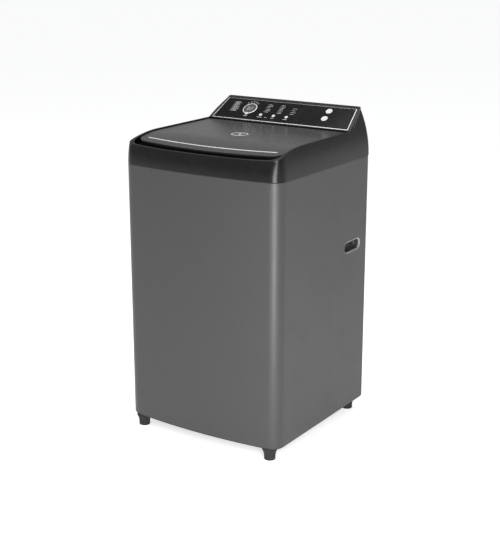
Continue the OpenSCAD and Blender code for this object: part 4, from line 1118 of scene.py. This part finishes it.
keys = [
    ("program_button", -0.130, 0.032, button_r), ("temperature_button", -0.077, 0.032, button_r),
    ("level_button", -0.030, 0.032, button_r), ("spin_button", 0.017, 0.032, button_r),
    ("power_button", 0.147, 0.077, big_button_r), ("start_button", 0.147, 0.043, big_button_r)]


def rod(name, r, low, high, x=0, y=0, vertices=64):
    nothing_selected()
    bpy.ops.mesh.primitive_cylinder_add(vertices=vertices, radius=r, depth=high - low,
                                        location=(x, y, (low + high) / 2))
    piece = bpy.context.active_object
    piece.name = name
    bpy.ops.object.transform_apply(location=True)
    return piece


border = extruded("panel_border_frame", panel_shape(0, 0), -border_depth, 0)
cut_by(border, extruded("border_hole", panel_shape(border_w, border_top_w), -border_depth - 0.001, 0.001))
soft_edges(border, 0.0004, 2, 40)
put(border, panel_turn)
finish_piece(border, silver_trim, "cabinet", "silver_trim", "panel_border")

plate = extruded("panel_glass_plate", panel_shape(border_w + 0.0002, border_top_w + 0.0002), -panel_t, 0)
cut_by(plate, rod("ring_hole", ring_r + 0.0002, -0.01, 0.01, *ring_place, vertices=96))
for name, x, y, r in keys:
    cut_by(plate, rod("key_hole", r + button_play, -0.01, 0.01, x, y))
soft_edges(plate, 0.0003, 2, 40)
put(plate, panel_turn)
finish_piece(plate, panel_glass, "cabinet", "panel_glass", "control_panel_glass")

for name, x, y, r in keys:
    key = turned(name + "_cap", [
        (0, 0.00085), (r * 0.45, 0.00088), (r * 0.72, 0.00100), (r - 0.0009, 0.00118), (r - 0.0004, 0.00112),
        (r - 0.0001, 0.00085), (r, 0.0004), (r, -0.0060), (r + 0.0013, -0.0062), (r + 0.0013, -0.0080),
        (0, -0.0080)], 64)
    put(key, panel_turn @ Matrix.Translation((x, y, 0)))
    even_shade(key, 35)
    finish_piece(key, button_white, name, "button_white", name)

ring = turned("display_bezel", [
    (ring_r - 0.0025, -panel_t), (ring_r - 0.0025, 0.0004), (ring_r - 0.0021, 0.0009),
    (ring_r - 0.0014, 0.0010),
    (ring_r - 0.0004, 0.0007), (ring_r, 0.0001), (ring_r, -panel_t), (ring_r - 0.0025, -panel_t)], 96)
window_disc = turned("display_lens", [
    (0, 0.0003), (0.014, 0.00028), (0.0205, 0.0001), (0.0214, -0.0002), (0.0214, -panel_t), (0, -panel_t)], 96)
for piece, finish, slot_name, node in (
        (ring, bright_trim, "bright_trim", "display_ring"),
        (window_disc, display, "display", "display_window")):
    cut_by(piece, rod("key_notch", button_r + button_play, -0.01, 0.01, 0, -ring_r))
    put(piece, panel_turn @ Matrix.Translation((ring_place[0], ring_place[1], 0)))
    even_shade(piece, 40)
    finish_piece(piece, finish, "cabinet", slot_name, node)

bars = []


def bar(x, u, w, h, lift=0.00004):
    """A printed bar on the panel, centred at a place on the slope."""
    bars.append(((x - w / 2, u - h / 2), (x + w / 2, u + h / 2), lift))


def printed(name, finish, body, slot_name, thickness=0.00006):
    points, faces = [], []
    for (x0, u0), (x1, u1), lift in bars:
        base = len(points)
        for z in (lift - thickness, lift):
            points += [(x0, u0, z), (x1, u0, z), (x1, u1, z), (x0, u1, z)]
        faces += [[base + i for i in q] for q in (
            (0, 3, 2, 1), (4, 5, 6, 7), (0, 1, 5, 4), (1, 2, 6, 5), (2, 3, 7, 6), (3, 0, 4, 7))]
    bars.clear()
    piece = from_points(name, points, faces)
    put(piece, panel_turn)
    finish_piece(piece, finish, body, slot_name)
    return piece


def label_list(x, u_low, u_high, rows, widths, dots):
    """Rows of short bars like lines of small print, each with its lamp's dot beside it."""
    for k in range(rows):
        u = u_low + (u_high - u_low) * k / max(rows - 1, 1)
        w = widths[k % len(widths)]
        start = x - 0.012
        word = 0
        while word < w - 0.001:
            length = min(0.0052 + 0.0016 * ((k * 7 + int(word * 1000)) % 3), w - word)
            bar(start + word + length / 2, u, length, 0.0016)
            word += length + 0.0011
        if dots:
            bar(x - 0.0150, u, 0.0015, 0.0015)


label_list(-0.183, 0.040, 0.082, 10, (0.022, 0.017, 0.025, 0.019, 0.023, 0.014, 0.020, 0.016), True)
for k in range(5):
    a = math.radians(128 - 19 * k)
    x, u = ring_place[0] + 0.0292 * math.cos(a), ring_place[1] + 0.0292 * math.sin(a)
    bar(x, u, 0.0020, 0.0020)
    bar(x - 0.0005, u + 0.0036, 0.0056, 0.0012)
label_list(-0.058, 0.047, 0.081, 6, (0.012, 0.017, 0.014, 0.010, 0.016, 0.013), True)
label_list(-0.011, 0.046, 0.083, 7, (0.014, 0.011, 0.013, 0.010, 0.012, 0.014, 0.011), True)
label_list(0.036, 0.047, 0.073, 4, (0.010, 0.014, 0.009, 0.012), True)
for x, w in ((-0.130, 0.014), (-0.077, 0.018), (-0.030, 0.011), (0.017, 0.015)):
    bar(x, 0.0215, w, 0.0019)
bar(-0.054, 0.0215, 0.010, 0.0012)
printed("panel_markings", print_ink, "cabinet", "silver_trim")

# Two seven-bar digits; each bar's place and size is in millimetres from its digit's middle.
lit = ("abcdef", "abdeg")
digit_pitch = 0.0105
places = {"a": (0, 6, 4.6, 1.1), "b": (2.6, 3, 1.1, 5.0), "c": (2.6, -3, 1.1, 5.0), "d": (0, -6, 4.6, 1.1),
          "e": (-2.6, -3, 1.1, 5.0), "f": (-2.6, 3, 1.1, 5.0), "g": (0, 0, 4.6, 1.1)}
for n, segments in enumerate(lit):
    digit_x = ring_place[0] + (n - 0.5) * digit_pitch
    for letter in segments:
        x, u, w, h = [v * 0.001 for v in places[letter]]
        bar(digit_x + x, ring_place[1] + u, w, h, 0.00036)
printed("display_digits", print_ink, "cabinet", "display")
